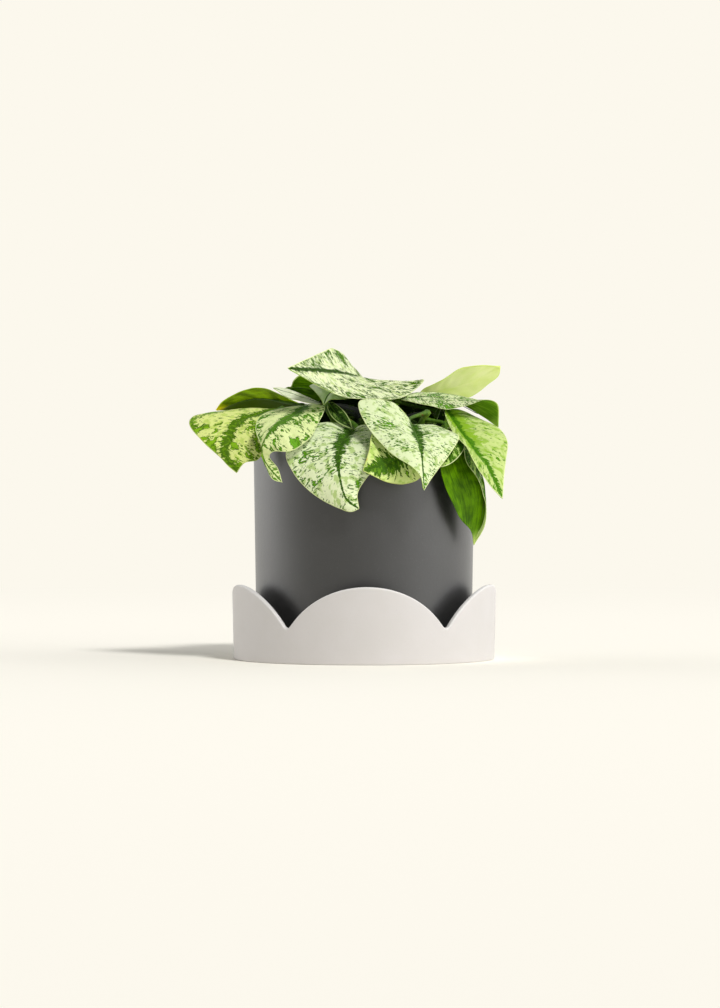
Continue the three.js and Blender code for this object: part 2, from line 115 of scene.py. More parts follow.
class Value:
    """A number that varies over a surface. Python's operators add its Math nodes."""

    def __init__(self, nodes: "Nodes", socket: Socket) -> None:
        """Wraps an output socket of a node tree."""
        self.nodes = nodes
        self.socket = socket

    def math(self, operation: str, *numbers: "Value | float") -> "Value":
        """Adds a Math node with these numbers in its sockets, in order."""
        return self.nodes.value("ShaderNodeMath", {"operation": operation}, dict(enumerate(numbers)))

    def __add__(self, other: "Value | float") -> "Value":
        """Adds a number."""
        return self.math("ADD", self, other)

    __radd__ = __add__

    def __sub__(self, other: "Value | float") -> "Value":
        """Takes a number away."""
        return self.math("SUBTRACT", self, other)

    def __rsub__(self, other: "Value | float") -> "Value":
        """Takes this value away from a number."""
        return self.math("SUBTRACT", other, self)

    def __mul__(self, other: "Value | float") -> "Value":
        """Multiplies by a number."""
        return self.math("MULTIPLY", self, other)

    __rmul__ = __mul__

    def __truediv__(self, other: "Value | float") -> "Value":
        """Divides by a number."""
        return self.math("DIVIDE", self, other)

    def __pow__(self, power: float) -> "Value":
        """Raises to a power."""
        return self.math("POWER", self, power)

    def __abs__(self) -> "Value":
        """Drops the sign."""
        return self.math("ABSOLUTE", self)

    def at_least(self, other: "Value | float") -> "Value":
        """The larger of two values."""
        return self.math("MAXIMUM", self, other)

    def step(self, low: float, high: float) -> "Value":
        """Rises smoothly from 0 where the value is low to 1 where it is high."""
        sockets = {"Value": self, "From Min": low, "From Max": high}
        return self.nodes.value("ShaderNodeMapRange", {"interpolation_type": "SMOOTHSTEP"}, sockets)


class Nodes:
    """A node tree, with one method that adds any node."""

    def __init__(self, tree: bpy.types.NodeTree) -> None:
        """Wraps the tree."""
        self.tree = tree

    def node(
        self, kind: str, settings: dict[str, Any] | None = None, sockets: dict[Any, Any] | None = None
    ) -> bpy.types.Node:
        """Adds a node.

        Args:
            kind: The node's type.
            settings: Its properties, which are set first.
            sockets: Values or links of its inputs, by name or number.

        Returns:
            The new node.
        """
        made = self.tree.nodes.new(kind)
        for name, setting in (settings or {}).items():
            setattr(made, name, setting)
        for name, content in (sockets or {}).items():
            self.feed(made.inputs[name], content)
        return made

    def feed(self, entry: Socket, content: Any) -> None:
        """Fills an input socket.

        Args:
            entry: The socket.
            content: A value or a socket to link, or a number, colour or vector of its own.
        """
        if isinstance(content, Value):
            content = content.socket
        if isinstance(content, Socket):
            self.tree.links.new(content, entry)
        elif entry.type == "RGBA":
            entry.default_value = (*content, 1.0)
        else:
            entry.default_value = content

    def value(self, kind: str, settings: dict[str, Any], sockets: dict[Any, Any]) -> Value:
        """Adds a node and wraps its first output as a number."""
        return Value(self, self.node(kind, settings, sockets).outputs[0])

    def mix(self, share: Value | float, one: Any, two: Any) -> Socket:
        """Mixes two colours, with this share of the second one."""
        sockets = {0: share, 6: one, 7: two}
        return self.node("ShaderNodeMix", {"data_type": "RGBA"}, sockets).outputs[2]

    def vector(self, x: Value | float, y: Value | float, z: Value | float = 0.0) -> Socket:
        """Joins three numbers to a vector."""
        return self.node("ShaderNodeCombineXYZ", None, {0: x, 1: y, 2: z}).outputs[0]

    def split(self, vector: Socket) -> tuple[Value, Value, Value]:
        """Parts a vector into its three numbers."""
        parts = self.node("ShaderNodeSeparateXYZ", None, {0: vector}).outputs
        return Value(self, parts[0]), Value(self, parts[1]), Value(self, parts[2])

    def place(self) -> Socket:
        """The piece's own Object coordinates, in metres."""
        return self.node("ShaderNodeTexCoord").outputs["Object"]

    def uv(self, layer: str) -> tuple[Value, Value]:
        """The two numbers of one of the piece's own UV maps."""
        across, along, _ = self.split(self.node("ShaderNodeUVMap", {"uv_map": layer}).outputs[0])
        return across, along

    def own(self, name: str) -> Value:
        """A number that the piece's own mesh carries at each of its points."""
        return Value(self, self.node("ShaderNodeAttribute", {"attribute_name": name}).outputs["Fac"])

    def noise(
        self, where: Socket, scale: float = 1.0, detail: float = 2.0, roughness: float = 0.5
    ) -> Value:
        """A cloudy noise from 0 to 1 round a middle of 0.5."""
        sockets = {"Vector": where, "Scale": scale, "Detail": detail, "Roughness": roughness}
        return self.value("ShaderNodeTexNoise", {}, sockets)


class Coat(Nodes):
    """A material's node tree, round one Principled shader."""

    def __init__(self, name: str) -> None:
        """Makes the material.

        Args:
            name: The material's name.
        """
        self.material = bpy.data.materials.new(name)
        self.material.use_nodes = True
        super().__init__(self.material.node_tree)
        self.shader = self.tree.nodes["Principled BSDF"]

    def dress(self, **sockets: Any) -> None:
        """Feeds the shader's sockets, whose names are written with _ for a space."""
        for name, content in sockets.items():
            self.feed(self.shader.inputs[name.replace("_", " ")], content)

    def bump(self, height: Value, depth: float) -> None:
        """Lets a height from 0 to 1 raise the surface by up to a depth in metres."""
        sockets = {"Strength": 1.0, "Distance": depth, "Height": height}
        self.dress(Normal=self.node("ShaderNodeBump", None, sockets).outputs[0])


class Grain:
    """A blade's own directions, in centimetres: out from its rib, and along its side veins.

    The "grain" UV map gives the distance from the rib and which side vein a point lies on. Each
    vein runs out from the rib towards the tip. The "leaf" UV map gives the shares of width and
    length.
    """

    def __init__(self, coat: Coat) -> None:
        """Reads the blade's two UV maps.

        Args:
            coat: The coat that the blade gets.
        """
        self.coat = coat
        across, self.along = coat.uv("leaf")
        self.side, self.vein = coat.uv("grain")
        self.out = abs(across)
        self.gap = abs(self.side)
        self.from_margin = self.gap * (1 - self.out) / self.out.at_least(0.01)

    def noise(
        self, lengthwise: float, crosswise: float, layer: float, detail: float, roughness: float = 0.5,
        scale: float = 1.0,
    ) -> Value:
        """Noise that is drawn out along the side veins.

        Args:
            lengthwise: Its fineness along a side vein, in cells to the centimetre.
            crosswise: Its fineness from one side vein to the next.
            layer: Sets it apart from the blade's other noises.
            detail: How many finer noises lie on it.
            roughness: How strong they are.
            scale: Makes it finer both ways.

        Returns:
            The noise, from 0 to 1.
        """
        where = self.coat.vector(self.side * lengthwise, self.vein * crosswise, layer)
        return self.coat.noise(where, scale, detail, roughness)

    def cells(self, scale: float, roughness: float = 0.5) -> Value:
        """The fine cells of the skin, from 0 to 1."""
        return self.coat.noise(self.coat.vector(self.side, self.vein), scale, 2.0, roughness)


# Finishes


@dataclass(frozen=True)
class Finish:
    """How a surface looks. Each kind of finish below paints a coat in its own way."""

    name: str

    def material(self) -> Material:
        """Makes the material.

        Returns:
            The material.
        """
        coat = Coat(self.name)
        self.paint(coat)
        return coat.material

    def paint(self, coat: Coat) -> None:
        """Paints a plain coat, which each kind of finish has to do."""
        raise NotImplementedError


@dataclass(frozen=True)
class Glaze(Finish):
    """A smooth matt glaze, with a faint mottle, fine specks, a little orange peel and, where it has an
    edge colour, a painted highlight on the edges that its mesh marks.
    """

    colour: Colour
    shade: Colour
    speck: Colour
    roughness: float
    specks: float
    peel: float
    shine: float = 0.5
    lacquer: float = 0.0
    # The colour of a painted highlight along the edges that the mesh marks
    edge: Colour | None = None

    def paint(self, coat: Coat) -> None:
        """Paints a plain coat.

        Args:
            coat: The coat.
        """
        place = coat.place()
        mottle = coat.noise(place, scale=38.0, detail=3.0, roughness=0.55)
        grit = coat.noise(place, scale=900.0, detail=2.0, roughness=0.6)
        specks = coat.noise(place, scale=1500.0, detail=1.0).step(0.66, 0.74)
        colour = coat.mix(mottle.step(0.3, 0.7), self.colour, self.shade)
        colour = coat.mix(specks * self.specks, colour, self.speck)
        # Painted highlight: the paler edge colour where the mesh's own edge number marks the rim and the
        # foot
        if self.edge:
            colour = coat.mix(coat.own("edge"), colour, self.edge)
        coat.dress(Base_Color=colour, Roughness=mottle * 0.06 + grit * 0.08 + (self.roughness - 0.07))
        coat.dress(Specular_IOR_Level=self.shine, Coat_Weight=self.lacquer, Coat_Roughness=0.5)
        coat.bump(coat.noise(place, scale=420.0, detail=3.0), self.peel)


@dataclass(frozen=True)
class Crumb(Finish):
    """The rough, broken surface of something in the potting mix."""

    dark: Colour
    light: Colour
    scale: float
    pits: float

    def paint(self, coat: Coat) -> None:
        """Paints a plain coat.

        Args:
            coat: The coat.
        """
        place = coat.place()
        cloud = coat.noise(place, self.scale, detail=6.0, roughness=0.7)
        grit = coat.noise(place, self.scale * 5.0, detail=3.0, roughness=0.7)
        colour = coat.mix((cloud * 0.6 + grit * 0.4).step(0.36, 0.66), self.dark, self.light)
        coat.dress(Base_Color=colour, Roughness=grit * 0.2 + 0.78)
        coat.bump(grit, self.pits)


@dataclass(frozen=True)
class StemSkin(Finish):
    """The green skin of stems and leaf stalks, with lengthwise flecks and brown scars."""

    green: Colour
    pale: Colour
    scar: Colour

    def paint(self, coat: Coat) -> None:
        """Paints a plain coat.

        Args:
            coat: The coat.
        """
        place = coat.place()
        x, y, z = coat.split(place)
        flecks = coat.noise(coat.vector(x, y, z * 0.25), scale=700.0, detail=3.0, roughness=0.6)
        cloud = coat.noise(place, scale=110.0, detail=3.0)
        scars = coat.noise(place, scale=160.0, detail=4.0, roughness=0.65).step(0.6, 0.7)
        colour = coat.mix((flecks * 0.5 + cloud * 0.5).step(0.38, 0.62), self.green, self.pale)
        colour = coat.mix(scars * 0.7, colour, self.scar)
        coat.dress(Base_Color=colour, Roughness=flecks * 0.2 + 0.38, Specular_IOR_Level=0.3)
        coat.bump(flecks, 0.2 * MM)


@dataclass(frozen=True)
class LeafFace(Finish):
    """The upper side of a leaf: silver islands on green, a dark feathered rib and a pale margin.

    cover, smudges and streaks say how much there is of the silver, of the darker smudges in it and
    of the green streaks on it. rib and halo are widths in centimetres of the dark band along the
    rib and of the greener zone round it. rib_reach is how far the band goes along the blade, rim
    is how much the silver gives way near the margin, fine is how small the streaks are, and tan is
    how dry the edge is.
    """

    silver: Colour = srgb(220, 234, 182)
    smudge: Colour = srgb(172, 204, 104)
    green: Colour = srgb(98, 158, 30)
    deep: Colour = srgb(58, 104, 8)
    core: Colour = srgb(66, 102, 28)
    margin: Colour = srgb(218, 230, 164)
    dry: Colour = srgb(206, 148, 62)
    cover: float = 1.0
    smudges: float = 0.5
    streaks: float = 1.2
    rib: float = 0.3
    rib_reach: float = 0.95
    rim: float = 0.3
    fine: float = 1.0
    tan: float = 0.0
    halo: float = 0.0
    shine: float = 0.08

    def paint(self, coat: Coat) -> None:
        """Paints a plain coat.

        Args:
            coat: The coat.
        """
        grain = Grain(coat)
        large = grain.noise(0.8, 1.4, layer=3.1, detail=5.0, roughness=0.6)
        soft = grain.noise(2.1, 3.2, layer=12.0, detail=2.0)
        # The skin's cells, which set the roughness and bump and also a painted glint in the silver
        cells_and_glint = grain.cells(26.0, roughness=0.6)
        silvered, ground = self.islands(grain, large)
        colour = coat.mix(silvered, ground, self.silvery(coat, soft, cells_and_glint))
        colour = self.streaked(grain, colour)
        if self.halo:
            colour = self.zoned(grain, colour)
        colour = self.edged(grain, self.ribbed(grain, colour))
        roughness = silvered * 0.08 + cells_and_glint * 0.14 + 0.42
        coat.dress(Base_Color=colour, Roughness=roughness, Specular_IOR_Level=self.shine)
        wave = grain.vein * 9.0 + soft * 3.0
        ridges = wave.math("SINE", wave) * 0.5 + 0.5
        coat.bump(ridges * grain.gap.step(0.05, 0.9) * 0.5 + cells_and_glint * 0.2 + large * 1.2, MM)

    def islands(self, grain: Grain, large: Value) -> tuple[Value, Socket]:
        """Where the blade is silver, and the green between: both torn along the side veins.

        Args:
            grain: The blade's own directions.
            large: The noise that sets the islands' places.

        Returns:
            The share of silver, and the colour of the green with its darker shores.
        """
        small = grain.noise(2.6, 4.8, layer=5.2, detail=4.0, roughness=0.6)
        height = large * 0.62 + small * 0.38 - grain.out.step(0.5, 1.0) * (self.rim * 0.07)
        brink = 0.5 - self.cover * 0.075
        shore = height.step(brink - 0.035, brink - 0.01)
        veins = grain.noise(1.2, 7.0, layer=7.7, detail=3.0, roughness=0.6).step(0.5, 0.64)
        ground = grain.coat.mix((veins * 0.7).at_least(shore), self.green, self.deep)
        return height.step(brink, brink + 0.008), ground

    def silvery(self, coat: Coat, soft: Value, cells_and_glint: Value) -> Socket:
        """The silver, with soft green smudges and a painted glint: some skin cells painted paler and
        some greener, so that it seems to glitter like satin.

        Args:
            coat: The leaf's coat.
            soft: The noise of the smudges.
            cells_and_glint: The noise of the skin cells, which sets the painted glint.

        Returns:
            The colour.
        """
        pale = coat.mix(soft.step(0.5, 0.62) * self.smudges, self.silver, self.smudge)
        # Painted glint: some cells lighter and some greener, as a glitter painted into the silver
        pale = coat.mix(cells_and_glint.step(0.5, 0.7) * 0.2, pale, self.margin)
        return coat.mix((1 - cells_and_glint).step(0.5, 0.7) * 0.2, pale, self.smudge)

    def streaked(self, grain: Grain, colour: Socket) -> Socket:
        """Adds green streaks, which lie in drifts, most of them near the margin.

        Args:
            grain: The blade's own directions.
            colour: The colour under them.

        Returns:
            The colour with them.
        """
        drift = grain.noise(0.8, 1.1, layer=21.0, detail=2.0) + grain.out * (0.16 * self.rim)
        streak = grain.noise(2.6, 8.4, layer=30.0, detail=4.0, roughness=0.62, scale=self.fine)
        streak = streak + (drift - 0.5) * 0.6
        brink = 0.5 + self.streaks * 0.1
        tone = grain.coat.mix(streak.step(brink + 0.03, brink + 0.1), self.deep, self.green)
        return grain.coat.mix(streak.step(brink, brink + 0.012), colour, tone)

    def zoned(self, grain: Grain, colour: Socket) -> Socket:
        """Adds a greener zone with a torn edge round the rib, which ends before the tip.

        Args:
            grain: The blade's own directions.
            colour: The colour under it.

        Returns:
            The colour with it.
        """
        torn = grain.noise(1.1, 5.0, layer=48.0, detail=4.0, roughness=0.65)
        zone = 1 - (grain.gap - self.halo * (torn * 3.0 - 0.5)).step(-0.05, 0.02)
        zone = zone * (1 - grain.along.step(0.55, 0.8))
        return grain.coat.mix(zone * (1 - torn.step(0.52, 0.6) * 0.4), colour, self.smudge)

    def ribbed(self, grain: Grain, colour: Socket) -> Socket:
        """Adds the rib's band, which frays into fingers along the side veins, round a greyer core.

        Args:
            grain: The blade's own directions.
            colour: The colour under it.

        Returns:
            The colour with it.
        """
        fray = grain.noise(1.3, 7.0, layer=41.0, detail=5.0, roughness=0.7)
        reach = (fray * 4.6 - 1.5).at_least(0.0) * self.rib
        fade = 1.0 - grain.along.step(self.rib_reach - 0.4, self.rib_reach) * 0.92
        reach = reach * fade * (grain.along.step(0.0, 0.25) * 0.5 + 0.5) + 0.03
        flecks = grain.noise(3.0, 7.0, layer=60.0, detail=3.0, roughness=0.6).step(0.5, 0.6)
        core = grain.coat.mix(flecks * 0.5, self.core, self.green)
        colour = grain.coat.mix(1 - (grain.gap - reach).step(0.0, 0.02), colour, self.deep)
        return grain.coat.mix(1 - (grain.gap - reach * 0.8).step(-0.03, 0.02), colour, core)

    def edged(self, grain: Grain, colour: Socket) -> Socket:
        """Adds the fine pale margin and, on a blade that has them, its dry spots.

        Args:
            grain: The blade's own directions.
            colour: The colour inside it.

        Returns:
            The colour with it.
        """
        colour = grain.coat.mix(1 - grain.from_margin.step(0.03, 0.07), colour, self.margin)
        if not self.tan:
            return colour
        scorched = grain.noise(1.3, 1.3, layer=55.0, detail=2.0).step(0.62, 0.66)
        edge = 1 - grain.from_margin.step(0.05, 0.14)
        return grain.coat.mix(scorched * edge * self.tan, colour, self.dry)


@dataclass(frozen=True)
class LeafBack(Finish):
    """The underside of a leaf: one green, with fine lengthwise lines and a paler margin and tip.

    lines says how strong the lines are and shaded_half how dark the right half is painted, as painted
    shade. left_edge and right_edge are the margin's widths in centimetres.
    """

    green: Colour
    dark: Colour
    margin: Colour
    tip: Colour
    lines: float
    shaded_half: float = 0.0
    left_edge: float = 0.05
    right_edge: float = 0.05

    def paint(self, coat: Coat) -> None:
        """Paints a plain coat.

        Args:
            coat: The coat.
        """
        grain = Grain(coat)
        cloud = coat.noise(coat.vector(grain.side * 0.7, grain.vein * 1.2), detail=3.0)
        lines = grain.noise(8.0, 1.0, layer=5.0, detail=3.0, roughness=0.6)
        cells = grain.cells(22.0)
        shade = cloud * 0.6 + (lines - 0.5) * self.lines + cells * 0.2 + 0.1
        # Painted shade: the right half is darker, as though it faced away from the light
        shade = shade + grain.side.step(-0.1, 0.5) * self.shaded_half
        colour = coat.mix(shade.step(0.34, 0.66), self.green, self.dark)
        edge = grain.side.step(-0.02, 0.02) * (self.right_edge - self.left_edge) + self.left_edge
        colour = coat.mix(1 - (grain.from_margin - edge).step(0.0, 0.04), colour, self.margin)
        colour = coat.mix(grain.along.step(0.88, 1.0), colour, self.tip)
        coat.dress(Base_Color=colour, Roughness=cells * 0.15 + 0.45, Specular_IOR_Level=0.05)
        coat.bump(lines * 0.7 + cells * 0.3, 0.3 * MM)


class Face(Enum):
    """The upper sides that the plant's leaves have."""

    SILVER_STREAKED = LeafFace(
        "leaf face silver streaked", silver=srgb(226, 234, 188), smudge=srgb(172, 196, 108),
        green=srgb(78, 122, 14), core=srgb(36, 66, 4), deep=srgb(34, 70, 0), cover=2.6, smudges=0.7,
        streaks=0.75, rib=0.2, rib_reach=1.4, rim=0.7, fine=1.1, shine=0.03,
    )
    SILVER_SPECKLED = LeafFace(
        "leaf face silver speckled", silver=srgb(218, 230, 182), smudge=srgb(166, 194, 108),
        core=srgb(56, 90, 24), deep=srgb(46, 82, 8), cover=2.8, smudges=0.8, streaks=0.95, rib=0.42,
        rib_reach=0.8, rim=0.4, fine=1.4,
    )
    SILVER_FLECKED = LeafFace(
        "leaf face silver flecked", silver=srgb(222, 232, 180), deep=srgb(36, 70, 6), cover=2.4,
        smudges=0.7, streaks=0.4, rib=0.16, rib_reach=1.2, rim=0.4, fine=1.3,
    )
    FEATHERED = LeafFace(
        "leaf face feathered", silver=srgb(234, 244, 200), smudge=srgb(166, 198, 100),
        core=srgb(56, 90, 22), deep=srgb(46, 86, 6), cover=2.6, smudges=0.75, streaks=1.0, rib=0.6,
        rib_reach=0.8, rim=0.6, fine=1.3,
    )
    ISLANDS = LeafFace(
        "leaf face islands", silver=srgb(230, 241, 172), green=srgb(106, 166, 34),
        core=srgb(84, 130, 34), deep=srgb(58, 104, 6), cover=0.85, smudges=0.3, streaks=1.3, rib=0.42,
        rib_reach=0.85, rim=0.8,
    )
    STREAKED_GREEN = LeafFace(
        "leaf face streaked green", silver=srgb(232, 242, 148), smudge=srgb(192, 218, 92),
        green=srgb(138, 188, 30), deep=srgb(68, 110, 2), core=srgb(80, 118, 10),
        margin=srgb(200, 216, 118), cover=0.65, smudges=0.7, streaks=1.3, rib=0.45, rib_reach=1.4,
        rim=0.7, tan=0.6,
    )
    LIME = LeafFace(
        "leaf face lime", silver=srgb(198, 216, 138), smudge=srgb(164, 198, 74), green=srgb(98, 156, 16),
        deep=srgb(78, 132, 10), core=srgb(84, 138, 10), cover=1.0, smudges=1.0, streaks=1.3, rib=0.8,
        rib_reach=1.1, rim=0.1,
    )
    LIME_ZONED = LeafFace(
        "leaf face lime zoned", silver=srgb(192, 210, 128), smudge=srgb(134, 176, 38),
        green=srgb(98, 154, 14), deep=srgb(62, 116, 6), core=srgb(70, 124, 8), cover=1.4, smudges=0.8,
        streaks=1.2, rib=0.3, rib_reach=1.3, rim=0.1, halo=0.9,
    )
    DARK_HEART = LeafFace(
        "leaf face dark heart", silver=srgb(224, 240, 152), smudge=srgb(172, 210, 86),
        green=srgb(128, 180, 34), deep=srgb(62, 104, 10), core=srgb(66, 106, 22),
        margin=srgb(206, 218, 126), cover=0.8, smudges=0.7, streaks=0.9, rib=0.68, rib_reach=1.1,
        rim=-0.5, tan=0.5,
    )
    BARE_SILVER = LeafFace(
        "leaf face bare silver", silver=srgb(250, 255, 224), cover=3.0, smudges=0.2, streaks=2.0,
        rib=0.1, rib_reach=0.6, rim=0.0,
    )
    SHADED = LeafFace(
        "leaf face shaded", silver=srgb(172, 202, 104), smudge=srgb(126, 164, 60),
        green=srgb(84, 130, 24), deep=srgb(42, 78, 8), core=srgb(42, 76, 10), cover=0.3, smudges=0.8,
        streaks=1.0, rib=0.3, rib_reach=1.0, rim=0.6, shine=0.04,
    )
    # Painted shade: a near-black green for leaves and sheets deep inside the plant
    PAINTED_SHADE = LeafFace(
        "leaf face painted shade", silver=srgb(64, 86, 28), smudge=srgb(44, 66, 14), green=srgb(26, 48, 4),
        deep=srgb(10, 22, 0), core=srgb(10, 22, 0), margin=srgb(110, 130, 60), cover=0.0, smudges=0.8,
        streaks=0.8, rib=0.3, rib_reach=1.0, rim=0.6, shine=0.03,
    )
    SHEATH = LeafFace(
        "leaf face sheath", silver=srgb(96, 124, 50), smudge=srgb(70, 100, 28), green=srgb(50, 82, 14),
        deep=srgb(24, 46, 4), core=srgb(24, 46, 4), margin=srgb(178, 196, 124), cover=0.0, smudges=0.8,
        streaks=0.8, rib=0.2, rib_reach=1.0, rim=0.6, shine=0.1,
    )


class Back(Enum):
    """The undersides that the plant's leaves have. Some tones are painted light: PALE paints the glow of
    a leaf lit from behind, DEEP and ROLLED paint shade with darker greens, and OLIVE paints shade on its
    right half.
    """

    # Painted light: a pale, bright green that stands in for the glow of a leaf lit from behind
    PALE = LeafBack(
        "leaf back pale", green=srgb(248, 255, 192), dark=srgb(230, 246, 150),
        margin=srgb(214, 234, 116), tip=srgb(226, 242, 140), lines=0.15,
    )
    # Its darker right half is painted shade
    OLIVE = LeafBack(
        "leaf back olive", green=srgb(178, 220, 26), dark=srgb(70, 94, 0), margin=srgb(168, 200, 36),
        tip=srgb(226, 212, 20), lines=0.2, shaded_half=0.42,
    )
    # Painted shade: darker greens for undersides that face away from the light; ROLLED has the same
    # greens with a wide pale margin on its right
    DEEP = LeafBack(
        "leaf back deep", green=srgb(98, 146, 2), dark=srgb(56, 94, 0), margin=srgb(190, 212, 120),
        tip=srgb(110, 150, 20), lines=0.7,
    )
    ROLLED = LeafBack(
        "leaf back rolled", green=srgb(98, 146, 2), dark=srgb(56, 94, 0), margin=srgb(196, 218, 134),
        tip=srgb(186, 210, 110), lines=0.7, left_edge=-0.06, right_edge=0.24,
    )
    FRESH = LeafBack(
        "leaf back fresh", green=srgb(132, 180, 44), dark=srgb(88, 134, 16), margin=srgb(196, 216, 116),
        tip=srgb(150, 190, 70), lines=0.9,
    )
    # Painted shade: a near-black green underside for the leaves deep inside the plant
    PAINTED_SHADE = LeafBack(
        "leaf back painted shade", green=srgb(34, 60, 4), dark=srgb(14, 28, 0), margin=srgb(80, 100, 30),
        tip=srgb(40, 60, 10), lines=0.4,
    )


class Skin(Enum):
    """The skins that the leaf stalks have."""

    GREEN = StemSkin(
        "stalk green", green=srgb(52, 86, 8), pale=srgb(86, 122, 26), scar=srgb(122, 56, 22),
    )
    PALE = StemSkin(
        "stalk pale", green=srgb(150, 188, 70), pale=srgb(200, 222, 120), scar=srgb(160, 180, 70),
    )


# Its edge colour is a painted highlight along the rim and the foot
SAUCER_GLAZE = Glaze(
    "saucer glaze", colour=srgb(208, 204, 202), shade=srgb(205, 201, 198), speck=srgb(190, 185, 180),
    roughness=0.5, specks=0.25, peel=0.00004, edge=srgb(224, 221, 218),
)
POT_GLAZE = Glaze(
    "pot glaze", colour=srgb(34, 34, 34), shade=srgb(29, 29, 29), speck=srgb(68, 68, 67), roughness=0.38,
    specks=0.35, peel=0.00006, shine=0.9, lacquer=0.5,
)
PEAT = Crumb("peat", dark=srgb(30, 20, 14), light=srgb(78, 56, 38), scale=260.0, pits=0.0012)
BARK = Crumb("bark", dark=srgb(70, 42, 26), light=srgb(142, 98, 62), scale=420.0, pits=0.0006)
PERLITE = Crumb("perlite", dark=srgb(206, 202, 192), light=srgb(238, 236, 230), scale=500.0, pits=0.0004)
STEM_SKIN = StemSkin(
    "stem skin", green=srgb(76, 114, 18), pale=srgb(122, 158, 48), scar=srgb(118, 72, 22),
)


class Coats:
    """The materials, each made once when a piece first asks for it."""

    def __init__(self) -> None:
        """Starts with none."""
        self.made: dict[str, Material] = {}

    def of(self, finish: Finish) -> Material:
        """The material of a finish.

        Args:
            finish: The finish.

        Returns:
            Its material.
        """
        if finish.name not in self.made:
            self.made[finish.name] = finish.material()
        return self.made[finish.name]


# Shapes


class Rail:
    """A smooth curve through points, read by its share of length.

    CUTS is how many samples the stretch between two points gets, and NUDGE is how far on and back
    the heading looks.
    """

    CUTS = 24
    NUDGE = 0.004

    def __init__(self, points: Sequence[Vector]) -> None:
        """Lays the curve and measures it.

        Args:
            points: What it passes through, in order.
        """
        knots = [2 * points[0] - points[1], *points, 2 * points[-1] - points[-2]]
        self.samples = [points[0].copy()]
        for span in zip(knots, knots[1:], knots[2:], knots[3:]):
            self.samples += [self.between(*span, cut / self.CUTS) for cut in range(1, self.CUTS + 1)]
        self.lengths = [0.0]
        for one, two in zip(self.samples, self.samples[1:]):
            self.lengths.append(self.lengths[-1] + (two - one).length)
        self.length = self.lengths[-1]

    @staticmethod
    def between(a: Vector, b: Vector, c: Vector, d: Vector, share: float) -> Vector:
        """A point of the centripetal curve from b to c.

        Args:
            a: The knot before b.
            b: Where the stretch starts.
            c: Where it ends.
            d: The knot after c.
            share: How far from b to c, 0 to 1.

        Returns:
            The point.
        """
        before, here, after = (math.sqrt((q - p).length) for p, q in ((a, b), (b, c), (c, d)))
        leave = ((b - a) / before - (c - a) / (before + here) + (c - b) / here) * here
        arrive = ((c - b) / here - (d - b) / (here + after) + (d - c) / after) * here
        square, cube = share * share, share**3
        curved = (3 * (c - b) - 2 * leave - arrive) * square
        return b + leave * share + curved + (2 * (b - c) + leave + arrive) * cube

    def at(self, share: float) -> Vector:
        """The point at a share of the length.

        Args:
            share: The share. Past an end, it counts as the end's.

        Returns:
            The point.
        """
        target = min(max(share, 0.0), 1.0) * self.length
        last = max(1, min(bisect_left(self.lengths, target), len(self.lengths) - 1))
        start, end = self.lengths[last - 1], self.lengths[last]
        return self.samples[last - 1].lerp(self.samples[last], (target - start) / (end - start))

    def heading(self, share: float) -> Vector:
        """The direction at a share of the length."""
        return (self.at(share + self.NUDGE) - self.at(share - self.NUDGE)).normalized()


def placed(points: Iterable[Point]) -> list[Vector]:
    """A plan's millimetre points as metres."""
    return [Vector(point) * MM for point in points]


def outline(corners: Sequence[Point], spacing: float, arc_steps: int = 6) -> list[Vector]:
    """A profile in the XZ plane, with rounded corners and its straight stretches cut up.

    Args:
        corners: Radius, height and corner radius of each corner.
        spacing: The longest straight stretch between two points.
        arc_steps: How many stretches a round corner has.

    Returns:
        The points in order.
    """
    bends: list[Vector] = []
    for index, (radius, height, rounding) in enumerate(corners):
        corner = Vector((radius, 0, height))
        if not rounding:
            bends.append(corner)
            continue
        before, after = corners[index - 1], corners[index + 1]
        back = (Vector((before[0], 0, before[1])) - corner).normalized()
        ahead = (Vector((after[0], 0, after[1])) - corner).normalized()
        half = back.angle(ahead) / 2
        centre = corner + (back + ahead).normalized() * rounding / math.sin(half)
        start = corner + back * rounding / math.tan(half) - centre
        end = corner + ahead * rounding / math.tan(half) - centre
        for step in range(arc_steps + 1):
            bends.append(centre + start.slerp(end, step / arc_steps).normalized() * rounding)
    points = bends[:1]
    for one, two in zip(bends, bends[1:]):
        count = max(1, math.ceil((two - one).length / spacing))
        points += [one.lerp(two, step / count) for step in range(1, count)]
        points.append(two)
    return points


def spun(profile: Sequence[Vector], steps: int, closed: bool = False) -> Mesh:
    """Turns a profile round the Z axis.

    Args:
        profile: The points in the XZ plane, outwards side first from the underside.
        steps: How many steps a full turn has.
        closed: Whether the profile closes on itself instead of at the axis.

    Returns:
        The mesh.
    """
    bm = bmesh.new()
    verts = [bm.verts.new(point) for point in profile]
    for one, two in zip(verts, verts[1:]):
        bm.edges.new((one, two))
    if closed:
        bm.edges.new((verts[-1], verts[0]))
    bmesh.ops.spin(
        bm, geom=bm.verts[:] + bm.edges[:], axis=(0, 0, 1), cent=(0, 0, 0),
        angle=2 * math.pi, steps=steps, use_merge=True, use_duplicate=False,
    )
    bmesh.ops.remove_doubles(bm, verts=bm.verts[:], dist=WELD)
    bmesh.ops.recalc_face_normals(bm, faces=bm.faces[:])
    return bm


